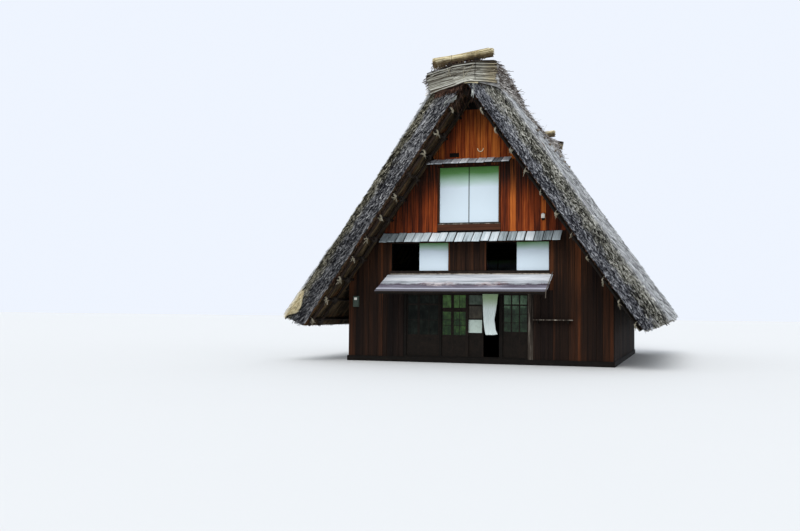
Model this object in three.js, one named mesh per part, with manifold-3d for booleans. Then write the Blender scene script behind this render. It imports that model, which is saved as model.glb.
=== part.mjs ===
// Minka farmhouse: a boarded timber house of three low storeys under one steep thatched roof.
// Millimetres, +Z up. The front gable faces -Y and the ridge runs along Y.
// The origin is on the ground, under the middle of the house.

import * as THREE from 'three';
import { mergeVertices } from 'three/addons/utils/BufferGeometryUtils.js';
import Module from 'manifold-3d';

const wasm = await Module();
wasm.setup();

// Driving dimensions

const seatGap = 0.3;            // pieces that touch keep this much between them

const house = {
  halfWidth: 3950,              // outer face of the side walls
  halfDepth: 4550,              // outer face of the gable walls
  wall: 120,                    // wall thickness, boards on studs
  sillTop: 150,
  sillProud: { side: 30, gable: 60 },   // past the outer faces of the walls
  sillWidth: { side: 170, gable: 210 },
  groundWallTop: 2140,
  sideWallTop: 2150,
  secondWallTop: 3850,
};

const floors = {
  ground: { top: 100 },
  second: { halfWidth: 3930, thickness: 80 },
  third: { halfWidth: 2450, thickness: 70 },
};

const roof = {
  halfLength: 6000,             // ridge direction, verge to verge is twice this
  apex: 9250,                   // where the two outer faces would meet
  eaveX: 5500,                  // outer lip of the eave
  eaveZ: 1370,
  thickness: 720,               // thatch, square to the slope
  eaveCut: 120,                 // the underside stops this far short of a square end
  capEdge: 1080,                // the outer face stops here, under the ridge cap
  // how far each outer face has sagged under its plane, at a distance down the face and within a reach of it
  sag: { left: 85, right: 20, middle: 5600, reach: 3400, steps: 6 },
};

const cap = {
  halfLength: 6100,
  overhang: 50,                 // past the top edge of the thatch
  top: [[-1130, 8150], [-1060, 8240], [-350, 8410], [380, 8480], [920, 8450], [1060, 8400]],
  steps: 24,
  // along the ridge from the front: the step, how far the top lies lower, how far its edges draw in
  run: [
    [0, 0, 0], [1, 0, 0], [3, 50, 0], [7, 200, 20], [8, 290, 130],
    [19, 300, 130], [22, 270, 130], [23, 40, 100], [24, 40, 100],
  ],
  firm: 600,                    // the top doesn't draw in within this distance of its middle line
  // the layers at the side edges: the share of the way down, how far it stands out
  edge: [[0.28, 20], [0.33, -40], [0.6, 5], [0.66, -40]],
};

const purlin = { count: 11, first: 900, pitch: 730, wide: 80, deep: 90 };
const rafter = { wide: 90, top: 150, bottom: 8400, at: [-5800, -5100, 5100, 5800] };

const aFrame = {
  at: [-3000, -1000, 1000, 3000],
  leg: 160,
  thick: 150,
  lowCollar: { halfWidth: 2790, bottom: 3590, top: 3750 },
  highCollar: { halfWidth: 630, bottom: 6740, top: 6820 },
};

const needle = {
  count: 7, pitch: 1200, radius: 42, z: 6950, reach: 1700, sides: 8,
  beam: { halfLength: 3750, size: 90, bite: 10 },
};

const ridgePole = { x: [-410, 340], radius: 55, past: 60, sides: 8 };
const endBundle = { y: 5950, from: -930, to: 770, radius: 118, lift: 0.5, sides: 12 };
const tieBundle = { at: [-3900, -1950, 0, 1950, 3900], from: -640, to: 570, radius: 75, bite: 15, sides: 8 };

const door = {
  left: -1030, right: 700,      // the pair of sliding leaves runs between these posts
  head: 2040, sill: 190,
  leaf: 30, track: 40,
  frontTrack: -4510, rearTrack: -4460,
  groove: 15, sillGroove: 6, running: 0.5, topEntry: 10,
  clearance: 5,
};
const paneDepth = 9;
const glazedLeaf = {
  width: 810, stile: 60, rightStile: 90, middle: [-725, -675],
  panes: [[1620, 1990], [820, 1555]],
};
const entranceLeaf = {
  width: 925, rightEdge: 220, stile: 45,
  panes: [[1720, 1990], [1310, 1670], [890, 1270]],
};

const bays = {
  postLeft: [-2200, -2120],     // left post of the glazed front
  postMiddle: [-1100, -1030],
  postRight: [700, 800],
  windowRight: 1540,
  roughPost: [1541, 1700],
  roughPostProud: 45,
};

const leftScreen = { stile: 45, middle: [-1785, -1715], panes: [[1740, 1990], [820, 1690]] };
const latticeWindow = { columns: 3, bar: 35, panes: [[1730, 1990], [940, 1690]] };
const rearWindow = { columns: 6, bar: 35, x: [-900, 900], z: [900, 1800], panes: [[950, 1400], [1440, 1750]] };
const screenPaper = { back: 30, thickness: 25 };   // behind the wall's outer face

const secondWindows = {
  bottom: 2715, top: 3540,
  left: [-2600, -1735, -830],   // opening's left edge, the screen's free edge, its right edge
  right: [310, 1205, 2140],
  sill: { from: -2620, to: 2160, height: 75, proud: 40 },
};

const thirdWindow = {
  bottom: 4135, top: 5775, left: -1110, right: 670, stile: 44,
  sill: { from: -1150, to: 730, bottom: 3880, top: 4080, proud: 40 },
};

const pents = {
  thickness: 32,
  upper: { back: [-1200, 1030], front: [-1430, 1080], depth: 410, backTop: 6040, drop: 175 },
  middle: { back: [-2740, 2540], front: [-2870, 2545], depth: 420, backTop: 3855, drop: 280 },
  canopy: { back: [-2700, 2260], front: [-2710, 2250], depth: 1220, backTop: 2610, drop: 520 },
};

const canopyFrame = { bar: 50, deep: 60, inset: 20, arms: 5, hanger: { wide: 30, z: [1890, 2040] } };

const curtain = {
  left: 205, right: 690, bottom: 840, top: 2006, thickness: 12, out: 95,
  rodRadius: 9, rodPast: 40, rodSides: 8, hook: 15, hookHalf: 6,
};

const wallShelf = { x: [1705, 2835], z: [1275, 1310], depth: 200 };
const meterBox = { x: [-3800, -3620], z: [1620, 1950], depth: 110 };
const lamp = { x: 1980, z: 4240, width: 120, depth: 110, height: 190 };

// Slope geometry: the right slope, seen from the front, with the underside as its reference line

const slope = Math.atan2(roof.apex - roof.eaveZ, roof.eaveX);
const innerApex = roof.apex - roof.thickness / Math.cos(slope);

// A point at a distance down the underside from its apex, and a depth into the house below it.
function slopePoint(along, depth) {
  return [
    along * Math.cos(slope) - depth * Math.sin(slope),
    innerApex - along * Math.sin(slope) - depth * Math.cos(slope),
  ];
}

function undersideX(z, depth = 0) {
  return (innerApex - depth / Math.cos(slope) - z) / Math.tan(slope);
}

// Solid tools

function toManifold(geometry) {
  const bare = geometry.clone();
  bare.deleteAttribute('normal');
  bare.deleteAttribute('uv');
  const merged = mergeVertices(bare);
  const mesh = new wasm.Mesh({
    numProp: 3,
    vertProperties: new Float32Array(merged.attributes.position.array),
    triVerts: new Uint32Array(merged.index.array),
  });
  return new wasm.Manifold(mesh);
}

function toGeometry(manifold) {
  const mesh = manifold.getMesh();
  const geometry = new THREE.BufferGeometry();
  geometry.setAttribute('position', new THREE.BufferAttribute(mesh.vertProperties, 3));
  geometry.setIndex(new THREE.BufferAttribute(mesh.triVerts, 1));
  geometry.computeVertexNormals();
  return geometry;
}

function joined(geometries) {
  const solids = geometries.map(toManifold);
  return toGeometry(solids.reduce((whole, piece) => whole.add(piece)));
}

function cut(geometry, cutters) {
  const solids = cutters.map(toManifold);
  return toGeometry(solids.reduce((whole, piece) => whole.subtract(piece), toManifold(geometry)));
}

// Shape tools

function box([x0, x1], [y0, y1], [z0, z1]) {
  const geometry = new THREE.BoxGeometry(x1 - x0, y1 - y0, z1 - z0);
  return geometry.translate((x0 + x1) / 2, (y0 + y1) / 2, (z0 + z1) / 2);
}

function outline(points) {
  return new THREE.Shape(points.map(([a, b]) => new THREE.Vector2(a, b)));
}

// An outline in X and Z, run along Y from y0 to y1.
function alongY(points, [y0, y1], steps = 1) {
  const geometry = new THREE.ExtrudeGeometry(outline(points), { depth: y1 - y0, steps, bevelEnabled: false });
  return geometry.rotateX(Math.PI / 2).translate(0, y1, 0);
}

function poleBetween(start, end, radius, sides) {
  const a = new THREE.Vector3(...start);
  const b = new THREE.Vector3(...end);
  const geometry = new THREE.CylinderGeometry(radius, radius, a.distanceTo(b), sides);
  const turn = new THREE.Quaternion().setFromUnitVectors(
    new THREE.Vector3(0, 1, 0), b.clone().sub(a).normalize());
  const middle = a.add(b).multiplyScalar(0.5);
  return geometry.applyQuaternion(turn).translate(middle.x, middle.y, middle.z);
}

// A rail or rafter inside the right slope, given by its span down the slope and its depth under it.
function slopeBar([from, to], [shallow, deep], ySpan) {
  const corners = [
    slopePoint(from, shallow), slopePoint(from, deep),
    slopePoint(to, deep), slopePoint(to, shallow),
  ];
  return alongY(corners, ySpan);
}

// Finishes

const finishes = {
  thatch: [0x8b8578, 1.0],
  ridgeThatch: [0xa0927a, 1.0],
  newStraw: [0xb89a62, 0.95],
  pole: [0x4a3c30, 0.9],
  darkBoard: [0x3a241b, 0.85],
  redBoard: [0x7a3a1e, 0.8],
  greyBoard: [0x9c9ea0, 0.9],
  blackWood: [0x2a1d17, 0.8],
  screenPaper: [0xe6eef2, 0.7],
  glass: [0x3c4a3c, 0.25],
  cloth: [0xe4ece6, 0.95],
  roughWood: [0x6a5f52, 0.95],
  whiteEnamel: [0xdcdcd8, 0.5],
  greyEnamel: [0x9aa0a4, 0.5],
  floorWood: [0x54402e, 0.8],
};

function piece(name, geometry, finish) {
  const [color, roughness] = finishes[finish];
  const mesh = new THREE.Mesh(geometry, new THREE.MeshStandardMaterial({ color, roughness, metalness: 0 }));
  mesh.name = name;
  return mesh;
}

// Roof

// A point at a distance down the outer face from the apex, and a depth under that face.
function outerPoint(down, depth) {
  return [
    down * Math.cos(slope) - depth * Math.sin(slope),
    roof.apex - down * Math.sin(slope) - depth * Math.cos(slope),
  ];
}

// The outer face from the eave up to the ridge cap, with its sag.
function outerFace(most) {
  const { middle, reach, steps } = roof.sag;
  const [top, eave] = [roof.capEdge, roof.eaveX].map((x) => x / Math.cos(slope));
  const points = [];
  for (let i = 0; i <= steps; i += 1) {
    const down = eave + (top - eave) * i / steps;
    points.push(outerPoint(down, most * Math.max(0, 1 - ((down - middle) / reach) ** 2)));
  }
  return points;
}

function thatchGeometry(poles, sag) {
  const lower = outerPoint(roof.eaveX / Math.cos(slope) - roof.eaveCut, roof.thickness);
  const profile = [lower, ...outerFace(sag), [seatGap, innerApex]];
  const slab = alongY(profile, [-roof.halfLength, roof.halfLength]);
  return cut(slab, poles);
}

function purlinBars(extra) {
  const bars = [];
  for (let i = 0; i < purlin.count; i += 1) {
    const middle = purlin.first + i * purlin.pitch;
    const span = [middle - purlin.wide / 2 - extra, middle + purlin.wide / 2 + extra];
    const end = roof.halfLength - purlin.wide + extra;
    bars.push(slopeBar(span, [seatGap - extra, purlin.deep + extra], [-end, end]));
  }
  return bars;
}

function roofPolesGeometry() {
  const rafters = rafter.at.map((y) => slopeBar(
    [rafter.top, rafter.bottom],
    [seatGap, purlin.deep],
    [y - rafter.wide / 2, y + rafter.wide / 2],
  ));
  return joined([...purlinBars(0), ...rafters]);
}

function aFrameGeometry() {
  const ySpan = [-aFrame.thick / 2, aFrame.thick / 2];
  const shallow = purlin.deep + seatGap;
  const deep = shallow + aFrame.leg;
  const foot = house.sideWallTop + floors.second.thickness + seatGap;
  const outer = [[undersideX(foot, shallow), foot], [0, innerApex - shallow / Math.cos(slope)],
    [-undersideX(foot, shallow), foot]];
  const inner = [[undersideX(foot, deep), foot], [0, innerApex - deep / Math.cos(slope)],
    [-undersideX(foot, deep), foot]];
  const legs = alongY([...outer, ...inner.reverse()], ySpan);
  const collars = [aFrame.lowCollar, aFrame.highCollar].map((collar) => box(
    [-collar.halfWidth, collar.halfWidth], ySpan, [collar.bottom, collar.top]));
  return joined([legs, ...collars]);
}

// Round poles that pass through the thatch from slope to slope, on one beam inside.
function needlePoles(extra) {
  const poles = [];
  for (let i = 0; i < needle.count; i += 1) {
    const y = (i - (needle.count - 1) / 2) * needle.pitch;
    poles.push(poleBetween([-needle.reach, y, needle.z], [needle.reach, y, needle.z],
      needle.radius + extra, needle.sides));
  }
  return poles;
}

function needleGeometry() {
  const { halfLength, size, bite } = needle.beam;
  const top = needle.z - needle.radius + bite;
  const beam = box([-size / 2, size / 2], [-halfLength, halfLength], [top - size, top]);
  return joined([...needlePoles(0), beam]);
}

// Ridge

// How far the cap's top lies lower, and how far its edges draw in, at a place along the ridge.
function capRun(y) {
  const step = (y + cap.halfLength) / (2 * cap.halfLength) * cap.steps;
  const next = Math.max(1, cap.run.findIndex(([at]) => at >= step - 1e-6));
  const [from, drop0, narrow0] = cap.run[next - 1];
  const [to, drop1, narrow1] = cap.run[next];
  const share = (step - from) / (to - from);
  return { drop: drop0 + (drop1 - drop0) * share, narrow: narrow0 + (narrow1 - narrow0) * share };
}

function drawnIn(x, y) {
  const share = Math.max(0, (Math.abs(x) - cap.firm) / (roof.capEdge - cap.firm));
  return x - Math.sign(x) * share * capRun(y).narrow;
}

function capTop(x) {
  const right = cap.top.findIndex(([px]) => px >= x);
  const [x0, z0] = cap.top[right - 1];
  const [x1, z1] = cap.top[right];
  return z0 + (z1 - z0) * (x - x0) / (x1 - x0);
}

// The layered side edge of the cap, from its top corner to its lip on the thatch.
function capEdgePoints([cornerX, cornerZ], [lipX, lipZ]) {
  return cap.edge.map(([share, out]) => [
    cornerX + (lipX - cornerX) * share + Math.sign(cornerX) * out,
    cornerZ + (lipZ - cornerZ) * share,
  ]);
}

// Layers of thatch laid over the ridge, thick at both gables, lower and narrower between them.
function ridgeCapGeometry() {
  const edgeZ = roof.apex - roof.capEdge * Math.tan(slope);
  const fall = (innerApex - edgeZ) / roof.capEdge;
  const bottomZ = (x) => innerApex + 2 * seatGap - fall * Math.abs(x);
  const reach = roof.capEdge + cap.overhang;
  const [rightLip, middle, leftLip] = [reach, 0, -reach].map((x) => [x, bottomZ(x)]);
  const corners = { right: cap.top[cap.top.length - 1], left: cap.top[0] };
  const rightEdge = capEdgePoints(corners.right, rightLip);
  const leftEdge = capEdgePoints(corners.left, leftLip).reverse();
  const profile = [...cap.top, ...rightEdge, rightLip, middle, leftLip, ...leftEdge];
  const geometry = alongY(profile, [-cap.halfLength, cap.halfLength], cap.steps);
  const position = geometry.attributes.position;
  for (let i = 0; i < position.count; i += 1) {
    const [x, y, z] = [position.getX(i), position.getY(i), position.getZ(i)];
    const cornerZ = (x > 0 ? corners.right : corners.left)[1];
    const isBottom = z < bottomZ(x) + 1;
    const height = isBottom ? 0 : Math.min(1, (z - rightLip[1]) / (cornerZ - rightLip[1]));
    position.setXYZ(i, x + (drawnIn(x, y) - x) * height, y, z - capRun(y).drop * height);
  }
  return geometry;
}

function ridgePoleZ(x, y) {
  return capTop(x) - capRun(y).drop + ridgePole.radius + seatGap;
}

// A pole that lies on the cap and follows its sag, station by station, with its ends a little past it.
function ridgePoleGeometry(x) {
  const section = [];
  for (let i = 0; i < ridgePole.sides; i += 1) {
    const turn = 2 * Math.PI * i / ridgePole.sides;
    section.push([x + ridgePole.radius * Math.cos(turn), ridgePole.radius * Math.sin(turn)]);
  }
  const geometry = alongY(section, [-cap.halfLength, cap.halfLength], cap.steps);
  const position = geometry.attributes.position;
  for (let i = 0; i < position.count; i += 1) {
    const y = position.getY(i);
    const isEnd = Math.abs(y) > cap.halfLength - 1;
    position.setZ(i, position.getZ(i) + ridgePoleZ(x, y));
    if (isEnd) position.setY(i, y + Math.sign(y) * ridgePole.past);
  }
  return geometry;
}

// A straw bundle laid across both ridge poles, its two ends and its height set by the poles.
function bundleBetween({ from, to, radius, sides }, y, lift) {
  const [xa, xb] = ridgePole.x;
  const za = ridgePoleZ(xa, y);
  const zb = ridgePoleZ(xb, y);
  const tilt = (zb - za) / (xb - xa);
  const seat = ridgePole.radius + radius + lift;
  const zAt = (x) => za + tilt * (x - xa) + seat;
  return poleBetween([from, y, zAt(from)], [to, y, zAt(to)], radius, sides);
}

function ridgePolesGeometry() {
  const poles = ridgePole.x.map(ridgePoleGeometry);
  const ties = tieBundle.at.map((y) => bundleBetween(tieBundle, y, -tieBundle.bite));
  return joined([...poles, ...ties]);
}

// Gable walls: the upper two storeys, each cut to the slopes and notched round the purlins

function gableCutters() {
  const right = purlinBars(seatGap);
  const left = right.map((bar) => bar.clone().rotateZ(Math.PI));
  return [...right, ...left];
}

const gableSpan = [-house.halfDepth, -house.halfDepth + house.wall];
const through = [gableSpan[0] - house.wall, gableSpan[1] + house.wall];

function secondStoreyWallGeometry() {
  const { sill, bottom, top, left, right } = secondWindows;
  const low = house.groundWallTop + seatGap;
  const high = house.secondWallTop;
  const edge = (z) => undersideX(z, seatGap);
  const corners = [[-edge(low), low], [edge(low), low], [edge(high), high], [-edge(high), high]];
  const wall = alongY(corners, gableSpan);
  const holes = [left, right].map(([from, , to]) => box([from, to], through, [bottom, top]));
  const ledge = box([sill.from, sill.to],
    [gableSpan[0] - sill.proud, gableSpan[1]], [bottom - sill.height, bottom]);
  return cut(joined([wall, ledge]), [...holes, ...gableCutters()]);
}

function gableWallGeometry() {
  const { sill, bottom, top, left, right } = thirdWindow;
  const low = house.secondWallTop + seatGap;
  const edge = undersideX(low, seatGap);
  const wall = alongY([[-edge, low], [edge, low], [0, innerApex - seatGap / Math.cos(slope)]], gableSpan);
  const hole = box([left, right], through, [bottom, top]);
  const ledge = box([sill.from, sill.to], [gableSpan[0] - sill.proud, gableSpan[1]], [sill.bottom, sill.top]);
  return cut(joined([wall, ledge]), [hole, ...gableCutters()]);
}

const screenSpan = [gableSpan[0] + screenPaper.back, gableSpan[0] + screenPaper.back + screenPaper.thickness];

// A second storey window is half open on the front gable and shut on the rear one.
function windowScreen([left, half, right], shut) {
  const from = shut ? left + seatGap : half;
  const { bottom, top } = secondWindows;
  return box([from, right - seatGap], screenSpan, [bottom + seatGap, top - seatGap]);
}

function thirdScreensGeometry() {
  const { bottom, top, left, right, stile } = thirdWindow;
  const zSpan = [bottom + seatGap, top - seatGap];
  const middle = (left + right) / 2;
  const sheets = box([left + seatGap, right - seatGap], screenSpan, zSpan);
  const meeting = box([middle - stile / 2, middle + stile / 2], [screenSpan[0] - 12, screenSpan[1]], zSpan);
  return joined([sheets, meeting]);
}

// Small roofs

// A sloped layer under or in a small roof: an outline in X and in the distance from the wall.
function pentLayer(points, { depth, backTop, drop }, [z0, z1]) {
  const plan = outline(points.map(([x, out]) => [x, -out]));
  const layer = new THREE.ExtrudeGeometry(plan, { depth: z1 - z0, bevelEnabled: false });
  layer.translate(0, 0, z0);
  layer.applyMatrix4(new THREE.Matrix4().makeShear(0, 0, 0, drop / depth, 0, 0));
  return layer.translate(0, gableSpan[0] - seatGap, backTop);
}

function pentGeometry(pent) {
  const { back, front, depth } = pent;
  const corners = [[back[0], 0], [back[1], 0], [front[1], depth], [front[0], depth]];
  return pentLayer(corners, pent, [-pents.thickness, 0]);
}

function plank([x0, x1], [near, far]) {
  return [[x0, near], [x1, near], [x1, far], [x0, far]];
}

function canopyFrameGeometry() {
  const { canopy, thickness } = pents;
  const { bar, deep, inset, arms, hanger } = canopyFrame;
  const layer = [-thickness - seatGap - deep, -thickness - seatGap];
  const left = canopy.front[0] + inset;
  const right = canopy.front[1] - inset;
  const front = canopy.depth - inset;
  const bars = [plank([left, right], [0, bar]), plank([left, right], [front - bar, front])];
  for (let i = 0; i < arms; i += 1) {
    const x = left + (right - left - bar) * i / (arms - 1);
    bars.push(plank([x, x + bar], [0, front]));
  }
  const hangerY = gableSpan[0] - front;
  const tail = box([right - hanger.wide, right], [hangerY, hangerY + hanger.wide], hanger.z);
  return joined([...bars.map((points) => pentLayer(points, canopy, layer)), tail]);
}

// Ground storey front

const headSpan = [gableSpan[0] - 10, gableSpan[1]];

function doorFrameGeometry() {
  const { postLeft, postMiddle, postRight } = bays;
  const foot = house.sillTop + seatGap;
  const head = box([postLeft[0], bays.roughPost[1]], headSpan, [door.head, house.groundWallTop]);
  const threshold = box([postLeft[0], bays.windowRight], gableSpan, [foot, door.sill]);
  const standing = [foot, house.groundWallTop];
  const posts = [postLeft, postMiddle, postRight].map((span) => box(span, gableSpan, standing));
  const rodY = gableSpan[0] - curtain.out;
  const rodZ = curtain.top + seatGap + curtain.rodRadius;
  const rodEnds = [curtain.left - curtain.rodPast, curtain.right + curtain.rodPast];
  const rod = poleBetween(...rodEnds.map((x) => [x, rodY, rodZ]), curtain.rodRadius, curtain.rodSides);
  const { hook, hookHalf } = curtain;
  const hooks = [curtain.left - 2 * hook, curtain.right + hook].map((x) => box(
    [x, x + hook], [rodY - hookHalf, headSpan[0] + hookHalf], [rodZ - hookHalf, door.head + 2 * hook]));
  const tracks = [door.frontTrack, door.rearTrack].flatMap((y) => {
    const ySpan = [y - door.track / 2, y + door.track / 2];
    return [
      box([door.left, door.right], ySpan, [door.head - 1, door.head + door.groove]),
      box([door.left, door.right], ySpan, [door.sill - door.sillGroove, door.sill + 1]),
    ];
  });
  return cut(joined([head, threshold, ...posts, rod, ...hooks]), tracks);
}

// A door leaf or a fixed screen: a slab with its panes sunk into both faces.
function panedLeaf([x0, x1], y, [z0, z1], panes) {
  const half = door.leaf / 2;
  const slab = box([x0, x1], [y - half, y + half], [z0, z1]);
  const sinks = panes.flatMap(([px0, px1, pz0, pz1]) => [
    box([px0, px1], [y - half - 1, y - half + paneDepth], [pz0, pz1]),
    box([px0, px1], [y + half - paneDepth, y + half + 1], [pz0, pz1]),
  ]);
  return cut(slab, sinks);
}

// Every pane of a leaf: its rows of heights in each of its columns.
function paneGrid(columns, rows) {
  return columns.flatMap(([x0, x1]) => rows.map(([z0, z1]) => [x0, x1, z0, z1]));
}

function evenColumns([left, right], count, bar) {
  const pitch = (right - left - bar) / count;
  const columns = [];
  for (let i = 0; i < count; i += 1) {
    const from = left + bar + i * pitch;
    columns.push([from, from + pitch - bar]);
  }
  return columns;
}

const leafHeights = [door.sill - door.sillGroove + door.running, door.head + door.topEntry];

function glazedDoorGeometry() {
  const left = door.left + door.clearance;
  const right = left + glazedLeaf.width;
  const { stile, rightStile, middle, panes } = glazedLeaf;
  const columns = [[left + stile, middle[0]], [middle[1], right - rightStile]];
  return panedLeaf([left, right], door.frontTrack, leafHeights, paneGrid(columns, panes));
}

function entranceDoorGeometry() {
  const right = entranceLeaf.rightEdge;
  const left = right - entranceLeaf.width;
  const columns = [[left + entranceLeaf.stile, right - entranceLeaf.stile]];
  return panedLeaf([left, right], door.rearTrack, leafHeights, paneGrid(columns, entranceLeaf.panes));
}

const fixedY = gableSpan[0] + house.wall / 2;
const fixedHeights = [door.sill + seatGap, door.head - seatGap];

function glazedScreenGeometry() {
  const [left, right] = [bays.postLeft[1] + seatGap, bays.postMiddle[0] - seatGap];
  const { stile, middle, panes } = leftScreen;
  const columns = [[left + stile, middle[0]], [middle[1], right - stile]];
  return panedLeaf([left, right], fixedY, fixedHeights, paneGrid(columns, panes));
}

function latticeWindowGeometry() {
  const [left, right] = [bays.postRight[1] + seatGap, bays.windowRight - seatGap];
  const columns = evenColumns([left, right], latticeWindow.columns, latticeWindow.bar);
  return panedLeaf([left, right], fixedY, fixedHeights, paneGrid(columns, latticeWindow.panes));
}

// Assembly

const farmhouse = new THREE.Group();
const wallHeights = [house.sillTop + seatGap, house.groundWallTop];

function groundWorks() {
  const outer = [house.halfWidth + house.sillProud.side, house.halfDepth + house.sillProud.gable];
  const inner = [outer[0] - house.sillWidth.side, outer[1] - house.sillWidth.gable];
  const ring = cut(
    box([-outer[0], outer[0]], [-outer[1], outer[1]], [0, house.sillTop]),
    [box([-inner[0], inner[0]], [-inner[1], inner[1]], [-1, house.sillTop + 1])],
  );
  const floor = box([-inner[0] + seatGap, inner[0] - seatGap], [-inner[1] + seatGap, inner[1] - seatGap],
    [0, floors.ground.top]);
  return [piece('ground_sill', ring, 'blackWood'), piece('ground_floor', floor, 'floorWood')];
}

function sideWall(name, side) {
  const clear = house.halfDepth - house.wall - seatGap;
  const geometry = box([-house.wall / 2, house.wall / 2], [-clear, clear],
    [house.sillTop + seatGap, house.sideWallTop]);
  const mesh = piece(name, geometry, 'darkBoard');
  mesh.position.x = side * (house.halfWidth - house.wall / 2);
  return mesh;
}

function storeyFloors() {
  const clear = house.halfDepth - house.wall - seatGap;
  const slab = ({ halfWidth, thickness }, under) => box(
    [-halfWidth, halfWidth], [-clear, clear], [under + seatGap, under + thickness]);
  return [
    piece('second_floor', slab(floors.second, house.sideWallTop), 'floorWood'),
    piece('third_floor', slab(floors.third, aFrame.lowCollar.top), 'floorWood'),
  ];
}

function frontGroundStorey() {
  const left = box([-house.halfWidth, bays.postLeft[0] - seatGap], gableSpan, wallHeights);
  const right = box([bays.roughPost[1] + seatGap, house.halfWidth], gableSpan, wallHeights);
  const post = box(bays.roughPost, [gableSpan[0] - bays.roughPostProud, gableSpan[1]],
    [house.sillTop + seatGap, door.head - seatGap]);
  const onWall = ({ x, z, depth }) => box(x, [gableSpan[0] - depth, gableSpan[0] - seatGap], z);
  const rodY = gableSpan[0] - curtain.out;
  const cloth = box([curtain.left, curtain.right],
    [rodY - curtain.thickness / 2, rodY + curtain.thickness / 2], [curtain.bottom, curtain.top]);
  return [
    piece('front_wall_left', left, 'darkBoard'),
    piece('front_wall_right', right, 'darkBoard'),
    piece('door_frame', doorFrameGeometry(), 'blackWood'),
    piece('left_glazed_screen', glazedScreenGeometry(), 'glass'),
    piece('lattice_window', latticeWindowGeometry(), 'glass'),
    piece('glazed_door', glazedDoorGeometry(), 'glass'),
    piece('entrance_door', entranceDoorGeometry(), 'glass'),
    piece('rough_post', post, 'roughWood'),
    piece('wall_shelf', onWall(wallShelf), 'roughWood'),
    piece('meter_box', onWall(meterBox), 'greyEnamel'),
    piece('door_curtain', cloth, 'cloth'),
  ];
}

function upperStoreys(prefix, shut) {
  return [
    piece(`${prefix}second_storey_wall`, secondStoreyWallGeometry(), 'darkBoard'),
    piece(`${prefix}gable_wall`, gableWallGeometry(), 'redBoard'),
    piece(`${prefix}left_window_screen`, windowScreen(secondWindows.left, shut), 'screenPaper'),
    piece(`${prefix}right_window_screen`, windowScreen(secondWindows.right, shut), 'screenPaper'),
    piece(`${prefix}upper_window_screens`, thirdScreensGeometry(), 'screenPaper'),
    piece(`${prefix}upper_pent_roof`, pentGeometry(pents.upper), 'greyBoard'),
    piece(`${prefix}middle_pent_roof`, pentGeometry(pents.middle), 'greyBoard'),
  ];
}

function canopy() {
  return [
    piece('canopy_roof', pentGeometry(pents.canopy), 'greyBoard'),
    piece('canopy_frame', canopyFrameGeometry(), 'blackWood'),
  ];
}

function rearGroundStorey() {
  const { x, z, columns, bar, panes } = rearWindow;
  const wall = cut(box([-house.halfWidth, house.halfWidth], gableSpan, wallHeights), [box(x, through, z)]);
  const grid = paneGrid(evenColumns(x, columns, bar), panes);
  const window = panedLeaf([x[0] + seatGap, x[1] - seatGap], fixedY, [z[0] + seatGap, z[1] - seatGap], grid);
  return [piece('rear_wall', wall, 'darkBoard'), piece('rear_lattice_window', window, 'glass')];
}

function roofSide(prefix, sag) {
  const group = new THREE.Group();
  group.add(piece(`${prefix}_thatch`, thatchGeometry(needlePoles(seatGap), sag), 'thatch'));
  group.add(piece(`${prefix}_roof_poles`, roofPolesGeometry(), 'pole'));
  return group;
}

function aFrames() {
  return aFrame.at.map((y, i) => {
    const mesh = piece(`a_frame_${i + 1}`, aFrameGeometry(), 'pole');
    mesh.position.y = y;
    return mesh;
  });
}

function ridge() {
  return [
    piece('ridge_cap', ridgeCapGeometry(), 'ridgeThatch'),
    piece('ridge_poles', ridgePolesGeometry(), 'pole'),
    piece('front_ridge_bundle', bundleBetween(endBundle, -endBundle.y, endBundle.lift), 'newStraw'),
    piece('rear_ridge_bundle', bundleBetween(endBundle, endBundle.y, endBundle.lift), 'newStraw'),
    piece('needle_poles', needleGeometry(), 'pole'),
  ];
}

function wallLamp() {
  const { x, z, width, depth, height } = lamp;
  const geometry = box([-width / 2, width / 2], [-depth, -seatGap], [-height / 2, height / 2]);
  const mesh = piece('wall_lamp', geometry, 'whiteEnamel');
  mesh.position.set(x, gableSpan[0], z);
  return mesh;
}

const front = new THREE.Group();
front.add(...frontGroundStorey(), ...upperStoreys('front_', false), ...canopy(), wallLamp());

const rear = new THREE.Group();
rear.add(...rearGroundStorey(), ...upperStoreys('rear_', true));
rear.rotation.z = Math.PI;

const rightSide = roofSide('right', roof.sag.right);
const leftSide = roofSide('left', roof.sag.left);
leftSide.rotation.z = Math.PI;

farmhouse.add(...groundWorks(), sideWall('left_side_wall', -1), sideWall('right_side_wall', 1));
farmhouse.add(...storeyFloors(), ...aFrames(), front, rear, rightSide, leftSide, ...ridge());

export default farmhouse;
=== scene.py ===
import itertools
import math
import random

import bmesh
import bpy
from mathutils import Matrix, Vector, noise


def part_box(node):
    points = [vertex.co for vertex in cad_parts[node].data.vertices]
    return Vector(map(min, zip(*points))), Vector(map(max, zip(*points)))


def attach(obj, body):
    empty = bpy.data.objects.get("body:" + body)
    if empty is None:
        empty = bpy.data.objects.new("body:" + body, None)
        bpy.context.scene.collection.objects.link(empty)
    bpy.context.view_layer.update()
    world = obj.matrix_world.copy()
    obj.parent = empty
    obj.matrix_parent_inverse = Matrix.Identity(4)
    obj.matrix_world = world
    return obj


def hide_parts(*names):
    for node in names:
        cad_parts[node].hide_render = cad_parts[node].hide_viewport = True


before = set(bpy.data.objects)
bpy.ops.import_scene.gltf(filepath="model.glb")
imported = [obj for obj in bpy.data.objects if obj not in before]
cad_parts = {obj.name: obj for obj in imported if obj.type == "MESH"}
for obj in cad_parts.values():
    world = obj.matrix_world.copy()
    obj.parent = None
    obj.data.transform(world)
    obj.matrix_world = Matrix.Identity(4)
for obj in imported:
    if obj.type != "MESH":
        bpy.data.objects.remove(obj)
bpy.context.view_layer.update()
scene = bpy.context.scene
print("frame loaded,", len(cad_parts), "nodes")


# The camera stands where the photograph was taken from

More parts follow.
